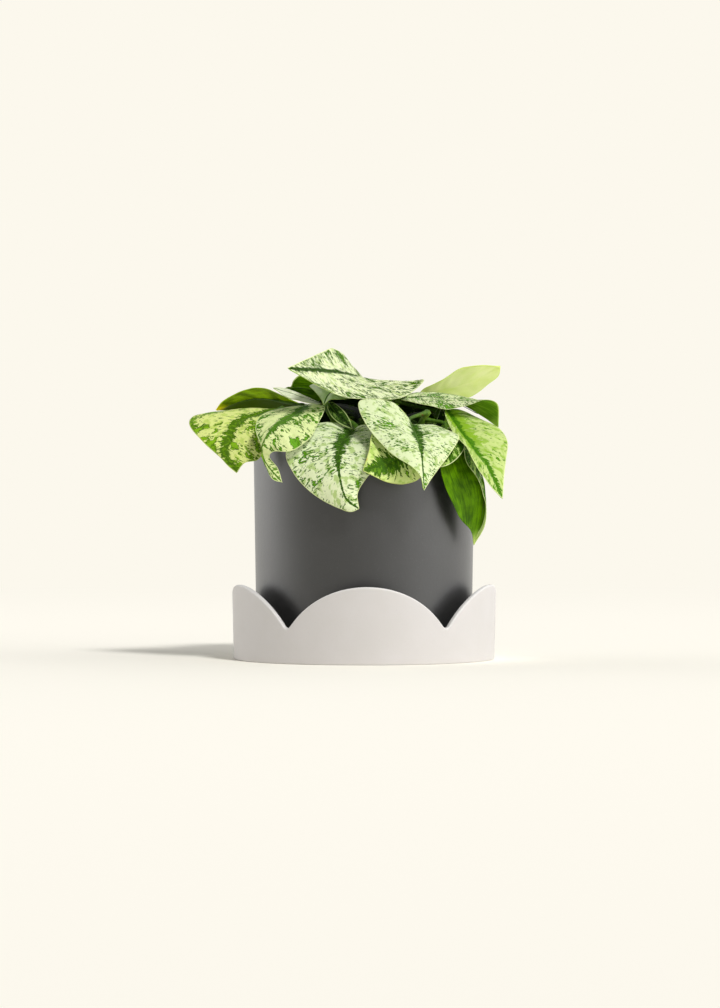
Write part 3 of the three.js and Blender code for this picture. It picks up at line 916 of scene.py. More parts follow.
def tube(rail: Rail, radius: Callable[[float], float], sides: int, rings: int) -> Mesh:
    """Makes a closed round tube along a rail.

    Args:
        rail: Its centre line.
        radius: Its radius at a share of the length, in metres.
        sides: How many sides its section has.
        rings: How many rings it has between its ends.

    Returns:
        The mesh.
    """
    bm = bmesh.new()
    bmesh.ops.create_cone(
        bm, cap_ends=True, cap_tris=False, segments=sides, radius1=1, radius2=1, depth=2
    )
    walls = [edge for edge in bm.edges if abs(edge.verts[0].co.z - edge.verts[1].co.z) > 1]
    bmesh.ops.subdivide_edges(bm, edges=walls, cuts=rings, use_grid_fill=True)
    frames = []
    sideways = rail.heading(0).orthogonal().normalized()
    for ring in range(rings + 2):
        share = ring / (rings + 1)
        ahead = rail.heading(share)
        sideways = (sideways - ahead * sideways.dot(ahead)).normalized()
        frames.append((rail.at(share), sideways, ahead.cross(sideways), radius(share)))
    for vert in bm.verts:
        centre, right, up, size = frames[round((vert.co.z + 1) / 2 * (rings + 1))]
        vert.co = centre + (right * vert.co.x + up * vert.co.y) * size
    return bm


def join(bm: Mesh, part: Mesh, coat: int) -> None:
    """Adds another mesh, which is freed.

    Args:
        bm: The mesh that it is added to.
        part: The other mesh.
        coat: The material number of its faces.
    """
    for face in part.faces:
        face.material_index = coat
    carrier = bpy.data.meshes.new("part")
    part.to_mesh(carrier)
    part.free()
    bm.from_mesh(carrier)
    bpy.data.meshes.remove(carrier)


def shown(bm: Mesh, name: str, coats: Sequence[Material]) -> bpy.types.Object:
    """Puts a mesh in the scene.

    Args:
        bm: The mesh, which is freed.
        name: The object's name.
        coats: Its materials, by its faces' material numbers.

    Returns:
        The object.
    """
    mesh = bpy.data.meshes.new(name)
    bm.to_mesh(mesh)
    bm.free()
    for coat in coats:
        mesh.materials.append(coat)
    made = bpy.data.objects.new(name, mesh)
    bpy.context.scene.collection.objects.link(made)
    return made


def finished(
    bm: Mesh, name: str, coats: Sequence[Material], nodes: Sequence[str] = ()
) -> None:
    """Makes a mesh a piece of the model.

    Args:
        bm: The mesh, which is freed.
        name: The piece's name.
        coats: Its materials, by its faces' material numbers.
        nodes: The solids that it stands for.
    """
    for face in bm.faces:
        face.smooth = True
    piece = shown(bm, name, coats)
    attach(piece, BODY)
    if nodes:
        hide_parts(*nodes)
    log.info("%s: %d faces", name, len(piece.data.polygons))


# Saucer and pot


@dataclass
class Saucer:
    """A round saucer whose wall rises in five scallops.

    turn is how far the front scallop is off the middle, and crowding draws the mesh to the valleys.
    """

    coats: Coats
    wall: float = 3.5 * MM
    floor: float = 4 * MM
    foot_inset: float = 1 * MM
    foot_round: float = 0.9 * MM
    rim_round: float = 1.3 * MM
    inner_round: float = 3.5 * MM
    # How strong the painted highlight at the foot is, beside the one at the rim
    foot_highlight: float = 0.5
    lobes: int = 5
    valley: float = 19.9 * MM
    valley_round: float = 3 * MM
    turn: float = math.radians(1.2)
    lobe_steps: int = 84
    crowding: float = 0.35
    radius: float = field(init=False)
    top: float = field(init=False)

    def __post_init__(self) -> None:
        """Takes the outer sizes from the solid."""
        low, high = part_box("saucer")
        self.radius, self.top = (high.y - low.y) / 2, high.z

    def rim_height(self, across: float) -> float:
        """Height of the rim within one lobe.

        Args:
            across: From -1 to 1 across the lobe.

        Returns:
            The height: an arc, with a small round where two lobes meet.
        """
        half_chord = self.radius * math.pi / self.lobes
        rise = self.top - self.valley
        arc = (half_chord**2 + rise**2) / (2 * rise)
        along = half_chord * abs(across)
        start = half_chord - self.valley_round
        height = self.top - arc + math.sqrt(arc**2 - min(along, start) ** 2)
        if along > start:
            slope = start / math.sqrt(arc**2 - start**2)
            past = along - start
            height -= slope * past * (1 - past / (2 * self.valley_round))
        return height

    def scallop(self, vert: bmesh.types.BMVert) -> None:
        """Moves a vertex of the plain turned wall to its place on the scalloped one.

        Args:
            vert: The vertex.
        """
        radius, angle = vert.co.xy.length, math.atan2(vert.co.y, vert.co.x)
        lobe = 2 * math.pi / self.lobes
        number = math.floor(angle / lobe)
        across = 2 * (angle / lobe - number) - 1
        crowded = (1 + self.crowding) * across - self.crowding * across**3
        angle = (number + (crowded + 1) / 2) * lobe
        height = vert.co.z
        base, band = self.floor + self.inner_round, 2 * self.rim_round
        rim = self.rim_height(crowded)
        if height > self.top - band:
            height += rim - self.top
        elif height > base:
            height = base + (height - base) * (rim - band - base) / (self.top - band - base)
        vert.co = (radius * math.cos(angle), radius * math.sin(angle), height)

    def painted_highlight(self, height: float) -> float:
        """How much painted highlight the glaze gets at a height of the plain wall: a pale line at the
        rim, and a fainter one at the foot.

        Args:
            height: The height.

        Returns:
            The share of the paler edge's colour.
        """
        rim = smoothstep(self.top - self.rim_round, self.top - 0.2 * self.rim_round, height)
        foot = 1 - smoothstep(0.1 * self.foot_round, 0.8 * self.foot_round, height)
        return rim + self.foot_highlight * foot

    def build(self) -> None:
        """Makes the piece."""
        foot = self.radius - self.foot_inset
        profile = outline(
            [
                (0, 0, 0), (foot, 0, self.foot_round), (self.radius, self.top, self.rim_round),
                (self.radius - self.wall, self.top, self.rim_round),
                (foot - self.wall, self.floor, self.inner_round), (0, self.floor, 0),
            ],
            spacing=4 * MM,
        )
        bm = spun(profile, self.lobes * self.lobe_steps)
        # The edge number carries the painted highlight at the rim and the foot
        edge = bm.verts.layers.float.new("edge")
        for vert in bm.verts:
            vert[edge] = self.painted_highlight(vert.co.z)
            self.scallop(vert)
        front = -math.pi / 2 - math.pi / self.lobes + self.turn
        bmesh.ops.rotate(bm, verts=bm.verts[:], cent=(0, 0, 0), matrix=Matrix.Rotation(front, 3, "Z"))
        finished(bm, "saucer_glazed", [self.coats.of(SAUCER_GLAZE)], ["saucer"])


@dataclass
class Pot:
    """A straight, slightly tapered pot with a round rim and a drain hole."""

    coats: Coats
    wall: float = 4.5 * MM
    floor: float = 5 * MM
    foot_inset: float = 2 * MM
    foot_round: float = 2.2 * MM
    rim_round: float = 2 * MM
    inner_round: float = 2.5 * MM
    drain: float = 7 * MM
    steps: int = 240
    radius: float = field(init=False)
    foot: float = field(init=False)
    rim: float = field(init=False)

    def __post_init__(self) -> None:
        """Takes the outer sizes from the solid."""
        low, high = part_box("pot")
        self.radius, self.foot, self.rim = (high.y - low.y) / 2, low.z, high.z

    def build(self) -> None:
        """Makes the piece."""
        foot = self.radius - self.foot_inset
        floor = self.foot + self.floor
        profile = outline(
            [
                (self.drain, self.foot, 0), (foot, self.foot, self.foot_round),
                (self.radius, self.rim, self.rim_round),
                (self.radius - self.wall, self.rim, self.rim_round),
                (foot - self.wall, floor, self.inner_round), (self.drain, floor, 0),
            ],
            spacing=8 * MM,
        )
        bm = spun(profile, self.steps, closed=True)
        finished(bm, "pot_glazed", [self.coats.of(POT_GLAZE)], ["pot"])


@dataclass(frozen=True)
class Crumbs:
    """Loose crumbs of one kind: how many, their smallest and largest radius, and their shape.

    squash is how long a crumb is along its own axes, chipped how far its corners are off, tilt how
    far it leans, in radians, proud how much of it stands out of the peat, and inset how many of its
    own sizes it keeps from the pot.
    """

    name: str
    finish: Crumb
    count: int
    sizes: tuple[float, float]
    squash: Point
    seed: int
    chipped: float = 0.22
    tilt: float = 0.5
    proud: float = 0.4
    inset: float = 3


@dataclass
class PottingMix:
    """Damp peat in the pot, with bark and perlite lying on it."""

    WHOLE_TURN = 6.3

    coats: Coats
    bevel: float = 4 * MM
    edge: float = 0.6 * MM
    foot_inset: float = 2 * MM
    heap: float = 2.5 * MM
    heap_radius: float = 37 * MM
    clod: float = 1.5 * MM
    clods_per_metre: float = 95
    steps: int = 150
    rings: int = 44
    top: float = 121.3 * MM
    loose: Sequence[Crumbs] = (
        Crumbs("mix_bark", BARK, 190, (1.4, 3.6), (1.0, 0.7, 0.45), seed=11),
        Crumbs("mix_perlite", PERLITE, 70, (0.8, 1.7), (1.0, 0.9, 0.8), seed=12),
    )
    low: Vector = field(init=False)
    radius: float = field(init=False)

    def __post_init__(self) -> None:
        """Takes the outer sizes from the solid."""
        self.low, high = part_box("potting_mix")
        self.radius = (high.y - self.low.y) / 2

    def height(self, x: float, y: float) -> float:
        """Height of the surface at a place.

        Args:
            x: The place, in metres.
            y: The same.

        Returns:
            The height, in metres.
        """
        spread = (x * x + y * y) / self.heap_radius**2
        clods = noise.fractal(Vector((x, y, 0.0)) * self.clods_per_metre, 1.0, 2.1, 4) * self.clod
        return self.top + self.heap * math.exp(-spread) + clods

    def build(self) -> None:
        """Makes the peat and what lies on it."""
        bottom = self.low.z
        foot = self.radius - self.foot_inset
        profile = outline(
            [
                (0, bottom, 0), (foot - self.bevel, bottom, 0), (foot, bottom + self.bevel, 0),
                (self.radius, self.top - self.edge, 0),
            ],
            spacing=20 * MM,
        )
        rings = [self.radius * (1 - ring / self.rings) for ring in range(self.rings + 1)]
        profile += [Vector((radius, 0, self.top)) for radius in rings]
        bm = spun(profile, self.steps)
        for vert in bm.verts:
            if vert.co.z > self.top - self.edge / 2:
                vert.co.z = self.height(vert.co.x, vert.co.y)
        finished(bm, "mix_peat", [self.coats.of(PEAT)], ["potting_mix"])
        for crumbs in self.loose:
            self.scatter(crumbs)

    def scatter(self, crumbs: Crumbs) -> None:
        """Strews crumbs over the peat.

        Args:
            crumbs: What they are like.
        """
        dice = random.Random(crumbs.seed)
        bm = bmesh.new()
        for _ in range(crumbs.count):
            size = dice.uniform(*crumbs.sizes) * MM
            reach = (self.radius - crumbs.inset * size) * math.sqrt(dice.random())
            angle = dice.uniform(0, 2 * math.pi)
            x, y = reach * math.cos(angle), reach * math.sin(angle)
            turn = Matrix.Rotation(dice.uniform(0, self.WHOLE_TURN), 4, "Z")
            lean = Matrix.Rotation(dice.gauss(0, crumbs.tilt), 4, "X")
            squash = Matrix.Diagonal((*crumbs.squash, 1.0))
            rise = self.height(x, y) + size * crumbs.squash[2] * crumbs.proud
            place = Matrix.Translation((x, y, rise)) @ (turn @ lean) @ squash
            made = bmesh.ops.create_icosphere(bm, subdivisions=1, radius=size, matrix=place)["verts"]
            for vert in made:
                vert.co += Vector(dice.uniform(-crumbs.chipped, crumbs.chipped) * size for _ in range(3))
        finished(bm, crumbs.name, [self.coats.of(crumbs.finish)])


# Stems and leaves


@dataclass
class Vine:
    """A short stem: straight out of the mix, then leaning to its top.

    A joint swells it every so often. joint_swell is by how much and joint_half how far, in
    millimetres. blunt is the share where the growing tip starts to close, and closing is how far
    it does.
    """

    name: str
    root: tuple[float, float]
    bend: Point
    top: Point
    depth: float = 22
    upright: float = 2
    radius: float = 2.2
    slimness: float = 0.92
    joint_spacing: float = 13
    joint_swell: float = 0.16
    joint_half: float = 1.1
    blunt: float = 0.975
    closing: float = 0.9
    surface: float = 121.3

    def rail(self) -> Rail:
        """The centre line.

        Returns:
            The rail from the root to the top.
        """
        x, y = self.root
        foot = [(x, y, self.surface - self.depth), (x, y, self.surface + self.upright)]
        return Rail(placed([*foot, self.bend, self.top]))

    def girth(self, rail: Rail, share: float) -> float:
        """The stem's radius at a share of its length.

        Args:
            rail: Its centre line.
            share: The share.

        Returns:
            The radius, in metres.
        """
        joints = rail.length / (self.joint_spacing * MM)
        from_joint = abs(share * joints - round(share * joints)) / joints * rail.length / MM
        swelling = self.joint_swell * math.exp(-((from_joint / self.joint_half) ** 2))
        tip = math.sqrt(max(0.0, 1 - smoothstep(self.blunt, 1.0, share) ** 2 * self.closing))
        return self.radius * (self.slimness + swelling) * tip * MM

    def build(self, coats: Coats) -> None:
        """Makes the piece.

        Args:
            coats: The materials.
        """
        rail = self.rail()
        bm = tube(rail, lambda share: self.girth(rail, share), sides=16, rings=70)
        finished(bm, f"{self.name}_stem", [coats.of(STEM_SKIN)], [self.name])


@dataclass
class Leaf:
    """A leaf: its blade is stretched between its rib and its two margins, and a stalk carries it.

    The rib and the margins are points from the base to the tip, and the stalk leaves its vine at
    the share `at` of the vine's length. puff bulges a half that is wide_half wide, groove sinks the
    rib, and waves lift the margin. rib_lag and widest say how the rib's points lag behind the
    margins' and where the blade is widest, as in the solids. crowding draws the mesh's columns to
    the rib and the margins, and edge_power says how late the two sheets close. The stalk runs on
    under the rib, at the shares and depths of UNDER_RIB, and a leaf without a long rib has only the
    first two of them. The numbers for seeds set the leaves' noises apart, and a blade that is
    narrower than NO_SIZE counts as a point.
    """

    WAVE_SEED = 5.3
    DENT_SEED = 7.1
    GRAIN_SEED = 9.7
    UNDER_RIB = ((0.08, 1.1), (0.2, 1.1), (0.45, 0.95), (0.75, 0.8))
    NO_SIZE = 1e-7

    name: str
    vine: str
    at: float
    face: Face
    rib: Sequence[Point]
    left: Sequence[Point]
    right: Sequence[Point]
    back: Back = Back.FRESH
    stalk: Sequence[Point] = ()
    stalk_width: float = 1.0
    skin: Skin = Skin.GREEN
    puff: float = 2.0
    thickness: float = 0.6
    rows: int = 72
    columns: int = 40
    crowding: float = 0.82
    edge_power: int = 16
    rib_lag: float = 1.6
    wide_half: float = 30
    stalk_radius: float = 1.15
    stalk_below: float = 1.1
    stalk_thinning: float = 0.95
    sheath: float = 0.5
    neck_back: float = 0.25
    neck_rise: float = 0.04
    widest: float = 0.35
    waves: float = 0.5
    wave_size: float = 17
    dent: float = 0.45
    dent_size: float = 8
    vein: float = 0.16
    vein_turn: float = 0.86
    groove: float = 0.5
    groove_half: float = 0.9
    long_rib: bool = True
    has_solid: bool = True
    seed: int = 0

    def __post_init__(self) -> None:
        """Lays the three rails."""
        rib, left, right = placed(self.rib), placed(self.left), placed(self.right)
        self.rib_rail = Rail(rib)
        self.left_rail, self.right_rail = (Rail([rib[0], *side, rib[-1]]) for side in (left, right))

    def build(self, coats: Coats, vines: dict[str, Vine]) -> None:
        """Makes the piece.

        Args:
            coats: The materials.
            vines: The stems by name.
        """
        bm = self.blade()
        join(bm, tube(self.stalk_rail(vines[self.vine]), self.girth, sides=12, rings=56), coat=2)
        looks = [coats.of(look.value) for look in (self.face, self.back, self.skin)]
        finished(bm, f"{self.name}_blade", looks, [self.name] if self.has_solid else ())

    def blade(self) -> Mesh:
        """The blade as a closed shell of an upper and a lower sheet, which meet at the margin.

        Returns:
            The mesh.
        """
        bm = self.sheet(0.0)
        under = self.sheet(self.thickness * MM)
        bmesh.ops.reverse_faces(under, faces=under.faces[:])
        join(bm, under, coat=1)
        bmesh.ops.remove_doubles(bm, verts=bm.verts[:], dist=WELD)
        return bm

    def sheet(self, depth: float) -> Mesh:
        """One side of the blade, with its two UV maps.

        Args:
            depth: How far it lies below the upper side, in metres.

        Returns:
            The mesh.
        """
        bm = bmesh.new()
        bmesh.ops.create_grid(bm, x_segments=self.columns, y_segments=self.rows, size=1)
        shares = bm.loops.layers.uv.new("leaf")
        grain = bm.loops.layers.uv.new("grain")
        rows: dict[float, list[Vector]] = {}
        for vert in bm.verts:
            along = round((vert.co.y + 1) / 2, 6)
            if along not in rows:
                share = along**self.rib_lag
                rows[along] = [
                    self.rib_rail.at(share), self.rib_rail.heading(share),
                    self.left_rail.at(along), self.right_rail.at(along),
                ]
            across = vert.co.x - self.crowding * math.sin(2 * math.pi * vert.co.x) / (2 * math.pi)
            vert.co, spread = self.surface(across, along, depth, rows[along])
            vein = along * self.rib_rail.length / CM + self.GRAIN_SEED * self.seed
            for loop in vert.link_loops:
                loop[shares].uv = (across, along)
                loop[grain].uv = (spread / CM, vein)
        return bm

    def surface(
        self, across: float, along: float, depth: float, row: Sequence[Vector]
    ) -> tuple[Vector, float]:
        """A point of the blade.

        Args:
            across: From -1 at the left margin to 1 at the right one.
            along: Share of the length.
            depth: How far the point lies below the upper side, away from the margin.
            row: The rib's point and direction at this share, and the left and right margins' points.

        Returns:
            The point, and its distance from the rib, less than 0 to the left.
        """
        rib, heading, left, right = row
        side, out = math.copysign(1.0, across), abs(across)
        half = (left - rib if across < 0 else right - rib) * side
        up = half.cross(heading)
        point = rib + half * across + up * (self.puff * 4 * out * (1 - out) / self.wide_half)
        if up.length < self.NO_SIZE:
            return point, 0.0
        up.normalize()
        spread = half.length * across
        sunk = depth * math.sqrt(max(0.0, 1 - out**self.edge_power))
        return point + up * (self.relief(spread / MM, along, out) * MM - sunk), spread

    def relief(self, spread: float, along: float, out: float) -> float:
        """How far the rib, the side veins and the wavy margin raise the surface.

        Args:
            spread: Distance from the rib, in millimetres.
            along: Share of the length.
            out: Share of the half width.

        Returns:
            The height, in millimetres.
        """
        length = self.rib_rail.length / MM
        groove = -self.groove * math.exp(-((spread / self.groove_half) ** 2)) * (1 - along) ** 0.4
        vein = math.sin(along * length * self.vein_turn) * self.vein
        vein = vein * smoothstep(0.5, 5, abs(spread)) * (1 - out)
        half = math.copysign(3.0, spread)
        size, seed = self.dent_size, self.seed
        wave = Vector((along * length / self.wave_size, half, self.WAVE_SEED * seed))
        dent = Vector((spread / size, along * length / size, self.DENT_SEED * seed))
        uneven = noise.noise(wave) * self.waves * 2 * out**3 + noise.noise(dent) * self.dent
        ends = smoothstep(0, 0.12, along) * smoothstep(0, 0.15, 1 - along)
        return groove + vein + uneven * ends

    def below(self, share: float, depth: float) -> Vector:
        """A point below the rib.

        Args:
            share: Where, along the rib.
            depth: How far below it, in millimetres.

        Returns:
            The point.
        """
        to_right = self.right_rail.at(self.widest) - self.left_rail.at(self.widest)
        up = to_right.cross(self.rib_rail.heading(share)).normalized()
        return self.rib_rail.at(share) - up * depth * MM

    def stalk_rail(self, vine: Vine) -> Rail:
        """The stalk's centre line, from the vine and on under the blade's rib.

        Args:
            vine: The vine that carries the leaf.

        Returns:
            The rail.
        """
        start = vine.rail().at(self.at)
        base = self.below(0, self.stalk_below)
        span = (base - start).length
        neck = base - self.rib_rail.heading(0) * span * self.neck_back
        neck.z += span * self.neck_rise
        stations = self.UNDER_RIB if self.long_rib else self.UNDER_RIB[:2]
        under = [self.below(share, depth) for share, depth in stations]
        return Rail([start, *(placed(self.stalk) or [neck]), base, *under])

    def girth(self, share: float) -> float:
        """The stalk's radius: a sheath at the vine, and a rib that thins out under the blade.

        Args:
            share: How far along the stalk.

        Returns:
            The radius, in metres.
        """
        sheath = self.sheath * (1 - smoothstep(0.0, 0.14, share))
        broad = (self.stalk_width - 1) * (1 - smoothstep(0.25, 0.45, share))
        thinner = self.stalk_thinning * smoothstep(0.3, 0.9, share)
        return (self.stalk_radius + sheath + broad - thinner) * MM


@dataclass
class Arch:
    """The plan of a flat leaf that arches away from its stalk in one plane.

    Its rib starts at the base along the heading, at the pitch, and bends down by the droop. fold
    lifts its halves, and the angles are in degrees. margin is shares of the length and of the
    half width.
    """

    name: str
    vine: str
    at: float
    face: Face
    base: Point
    heading: float
    droop: float
    length: float
    width: float
    pitch: float = 0
    fold: float = 0
    back: Back = Back.FRESH
    margin: Sequence[tuple[float, float]] = (
        (-0.13, 0.4), (-0.06, 0.85), (0.18, 1.0), (0.48, 0.83), (0.75, 0.42), (0.9, 0.15)
    )

    def point(self, share: float, out: float, side: int) -> Point:
        """A point of the leaf.

        Args:
            share: Along the rib, which is an arc whose slope falls evenly from the pitch.
            out: Distance from the rib.
            side: 1 for the right half, -1 for the left.

        Returns:
            The point, in millimetres.
        """
        heading, start, fold = (math.radians(angle) for angle in (self.heading, self.pitch, self.fold))
        turn = math.radians(self.droop) / self.length
        angle = start - turn * self.length * share
        lift = out * math.sin(fold)
        forward = (math.sin(start) - math.sin(angle)) / turn - lift * math.sin(angle)
        rise = (math.cos(angle) - math.cos(start)) / turn + lift * math.cos(angle)
        aside = side * out * math.cos(fold)
        return (
            self.base[0] + forward * math.cos(heading) + aside * math.sin(heading),
            self.base[1] + forward * math.sin(heading) - aside * math.cos(heading),
            self.base[2] + rise,
        )

    def leaf(self) -> Leaf:
        """The leaf of this plan.

        Returns:
            The leaf.
        """
        rib = [self.point(share, 0, 0) for share in (0, 0.33, 0.67, 1)]
        left, right = (
            [self.point(along, out * self.width, side) for along, out in self.margin] for side in (-1, 1)
        )
        return Leaf(self.name, self.vine, self.at, self.face, rib, left, right, self.back)


# The stems, by their roots in the mix, a bend and their tops
VINES = [
    Vine("vine_middle", root=(4, 4), bend=(5, 4, 148), top=(6, 6, 170)),
    Vine("vine_front", root=(-8, -28), bend=(-15, -32, 142), top=(-24, -37, 160)),
    Vine("vine_front_left", root=(-28, -16), bend=(-31, -19, 142), top=(-34, -22, 158)),
    Vine("vine_front_right", root=(22, -22), bend=(31, -32, 140), top=(40, -40, 156)),
    Vine("vine_right", root=(36, -6), bend=(41, -9, 142), top=(46, -14, 157)),
    Vine("vine_back_right", root=(22, 20), bend=(25, 20, 144), top=(30, 20, 163)),
    Vine("vine_back_left", root=(-18, 22), bend=(-20, 24, 144), top=(-22, 26, 158)),
    Vine("vine_left", root=(-38, 2), bend=(-43, 1, 142), top=(-50, 0, 157)),
]

# The leaves that the front shows, by their rib and margins
SHAPED_LEAVES = [
    Leaf(
        "leaf_top", "vine_middle", 0.95, Face.SILVER_STREAKED,
        rib=[(0, 8, 178), (-18, -22, 181), (-31, -45, 181), (-47, -70, 181)],
        left=[
            (20, 6, 173), (38, 8, 177), (28, -10, 167), (9, -36, 163), (-13, -56, 164), (-29, -66, 171),
        ],
        right=[(-8, 20, 187), (-13, 20, 194), (-19, 8, 197), (-27, -14, 193), (-37, -44, 187)],
        puff=-1.5,
    ),
    Leaf(
        "leaf_upper_right", "vine_back_right", 0.95, Face.LIME, back=Back.PALE, skin=Skin.PALE,
        groove=0.1, long_rib=False,
        rib=[(35, 20, 168), (52, 26, 172), (68, 30, 177), (88, 34, 187)],
        left=[(39, 30, 164), (56, 38, 164), (70, 42, 168), (81, 40, 176), (87, 38, 181)],
        right=[(38, 16, 172), (51, 14, 178), (62, 14, 185), (74, 20, 187), (83, 28, 187)],
    ),
    Leaf(
        "leaf_right_flat", "vine_right", 0.98, Face.SILVER_FLECKED,
        rib=[
            (23, -12, 164), (40, -12, 165), (57, -12, 163), (67, -16, 158), (75, -20, 153),
            (84, -26, 146),
        ],
        left=[(27, 0, 168), (39, 6, 169), (53, 8, 168), (67, 4, 165), (77, -6, 161), (82, -16, 153)],
        right=[
            (29, -26, 162), (41, -34, 159), (53, -38, 157), (66, -38, 160), (76, -36, 163),
            (83, -32, 160), (84, -28, 153),
        ],
    ),
    Leaf(
        "leaf_right", "vine_right", 0.88, Face.LIME_ZONED,
        rib=[(51, -28, 157), (59, -44, 144), (66, -51, 134), (74, -56, 124), (85, -60, 101)],
        left=[
            (59, -26, 157), (71, -24, 152), (84, -28, 145), (89, -36, 137), (88, -44, 126),
            (86, -54, 111),
        ],
        right=[(50, -36, 154), (54, -50, 144), (62, -60, 133), (68, -64, 122), (76, -65, 110)],
    ),
    Leaf(
        "leaf_front_right", "vine_front_right", 0.98, Face.SILVER_SPECKLED,
        rib=[(29, -58, 147), (33, -75, 137), (35, -88, 127), (36, -95, 106)],
        left=[
            (42, -58, 146), (53, -56, 142), (58, -60, 139), (52, -70, 128), (45, -81, 119),
            (38, -91, 109),
        ],
        right=[
            (26, -60, 152), (19, -60, 159), (8, -62, 162), (-3, -66, 161), (0, -78, 148), (8, -87, 137),
            (18, -93, 127), (29, -95, 120), (34, -95, 114),
        ],
    ),
    Leaf(
        "leaf_front", "vine_front", 0.95, Face.FEATHERED, stalk_width=1.7,
        rib=[
            (-7, -50, 143), (-14, -68, 136), (-16, -80, 125), (-15, -84, 114), (-11, -83, 101),
            (-3, -80, 95),
        ],
        left=[
            (-1, -52, 147), (10, -58, 142), (12, -75, 131), (8, -80, 121), (1, -82, 113), (-4, -81, 104),
        ],
        right=[
            (-12, -47, 147), (-26, -49, 148), (-41, -60, 141), (-48, -66, 128), (-44, -69, 118),
            (-37, -72, 109), (-27, -76, 101), (-15, -79, 95), (-8, -80, 93),
        ],
    ),
    Leaf(
        "leaf_front_low", "vine_front_right", 0.8, Face.DARK_HEART,
        rib=[(30, -74, 131), (22, -80, 126), (11, -86, 121), (-1, -89, 118)],
        left=[(34, -76, 123), (34, -78, 114), (25, -80, 110), (14, -84, 111), (5, -88, 115)],
        right=[(24, -74, 137), (14, -76, 142), (5, -80, 141), (3, -86, 131)],
        stalk=[(34, -44, 141), (31, -62, 138)],
    ),
    Leaf(
        "leaf_front_left", "vine_front_left", 0.88, Face.ISLANDS,
        rib=[
            (-35, -38, 159), (-42, -50, 154), (-52, -60, 148), (-59, -66, 141), (-63, -68, 133),
            (-61, -64, 124), (-50, -66, 111),
        ],
        left=[
            (-25, -44, 159), (-28, -60, 148), (-33, -70, 138), (-45, -73, 130), (-55, -69, 130),
            (-58, -65, 127), (-53, -64, 120),
        ],
        right=[
            (-40, -36, 159), (-53, -40, 157), (-64, -48, 152), (-67, -56, 144), (-64, -63, 135),
            (-61, -62, 123), (-56, -64, 113),
        ],
        stalk=[(-34, -31, 156)],
    ),
    Leaf(
        "leaf_left", "vine_left", 0.9, Face.STREAKED_GREEN,
        rib=[
            (-55, -12, 158), (-67, -18, 154), (-78, -24, 150), (-84, -32, 140), (-86, -40, 128),
            (-79, -44, 117),
        ],
        left=[(-50, -28, 152), (-55, -42, 140), (-61, -48, 131), (-66, -50, 125), (-74, -47, 123)],
        right=[
            (-65, -4, 157), (-79, 2, 158), (-95, 4, 156), (-108, -4, 154), (-110, -14, 148),
            (-101, -28, 137), (-91, -36, 128), (-84, -42, 121),
        ],
    ),
    Leaf(
        "leaf_upper_left", "vine_left", 0.98, Face.ISLANDS, back=Back.OLIVE,
        rib=[(-41, 8, 162), (-57, 16, 165), (-73, 20, 166), (-95, 18, 158)],
        left=[(-48, 5, 165), (-59, 6, 170), (-69, 8, 172), (-80, 11, 169), (-91, 15, 163)],
        right=[(-47, 16, 160), (-59, 27, 159), (-73, 31, 158), (-87, 25, 158)],
    ),
    Leaf(
        "leaf_upper_left_thin", "vine_front_left", 0.98, Face.BARE_SILVER,
        rib=[(-27, -28, 161), (-38, -12, 165), (-49, -2, 169), (-58, 10, 172)],
        left=[(-29, -32, 160), (-39, -24, 162), (-49, -12, 166)],
        right=[(-33, -16, 164), (-43, -4, 169), (-51, 6, 172)],
    ),
    Leaf(
        "leaf_under_top", "vine_middle", 0.98, Face.BARE_SILVER, back=Back.DEEP,
        rib=[(-8, -10, 174), (-15, -24, 171), (-22, -40, 166), (-25, -52, 159)],
        left=[(-3, -14, 170), (1, -28, 165), (-10, -40, 163), (-21, -48, 162)],
        right=[(-22, -4, 176), (-34, -18, 172), (-31, -32, 168), (-27, -46, 163)],
    ),
    Leaf(
        "leaf_left_dark", "vine_back_left", 0.95, Face.ISLANDS, back=Back.DEEP,
        rib=[(-16, 6, 168), (-31, 12, 171), (-42, 16, 173), (-51, 20, 172)],
        left=[(-22, 6, 175), (-33, 10, 179), (-41, 12, 180), (-45, 14, 177), (-47, 18, 173)],
        right=[(-22, 14, 163), (-33, 20, 163), (-42, 22, 168)],
    ),
    Leaf(
        "leaf_right_low", "vine_right", 0.72, Face.SHADED, back=Back.ROLLED,
        rib=[
            (64, -38, 138), (67, -40, 128), (71, -39, 118), (75, -33, 106), (73, -32, 90), (68, -36, 72),
        ],
        left=[
            (53, -46, 136), (48, -57, 128), (47, -61, 118), (52, -57, 103), (59, -50, 89), (66, -42, 81),
        ],
        right=[
            (62, -46, 136), (63, -49, 124), (69, -45, 115), (74, -38, 105), (76, -35, 97), (75, -34, 84),
        ],
        stalk=[(56, -24, 142)],
    ),
    Leaf(
        "leaf_right_small", "vine_front_right", 0.9, Face.SHADED, back=Back.DEEP,
        rib=[(51, -46, 145), (53, -55, 137), (50, -63, 127), (45, -68, 120)],
        left=[(57, -44, 141), (62, -51, 134), (59, -57, 128), (52, -64, 122)],
        right=[(45, -54, 143), (42, -66, 135), (43, -71, 127)],
    ),
]

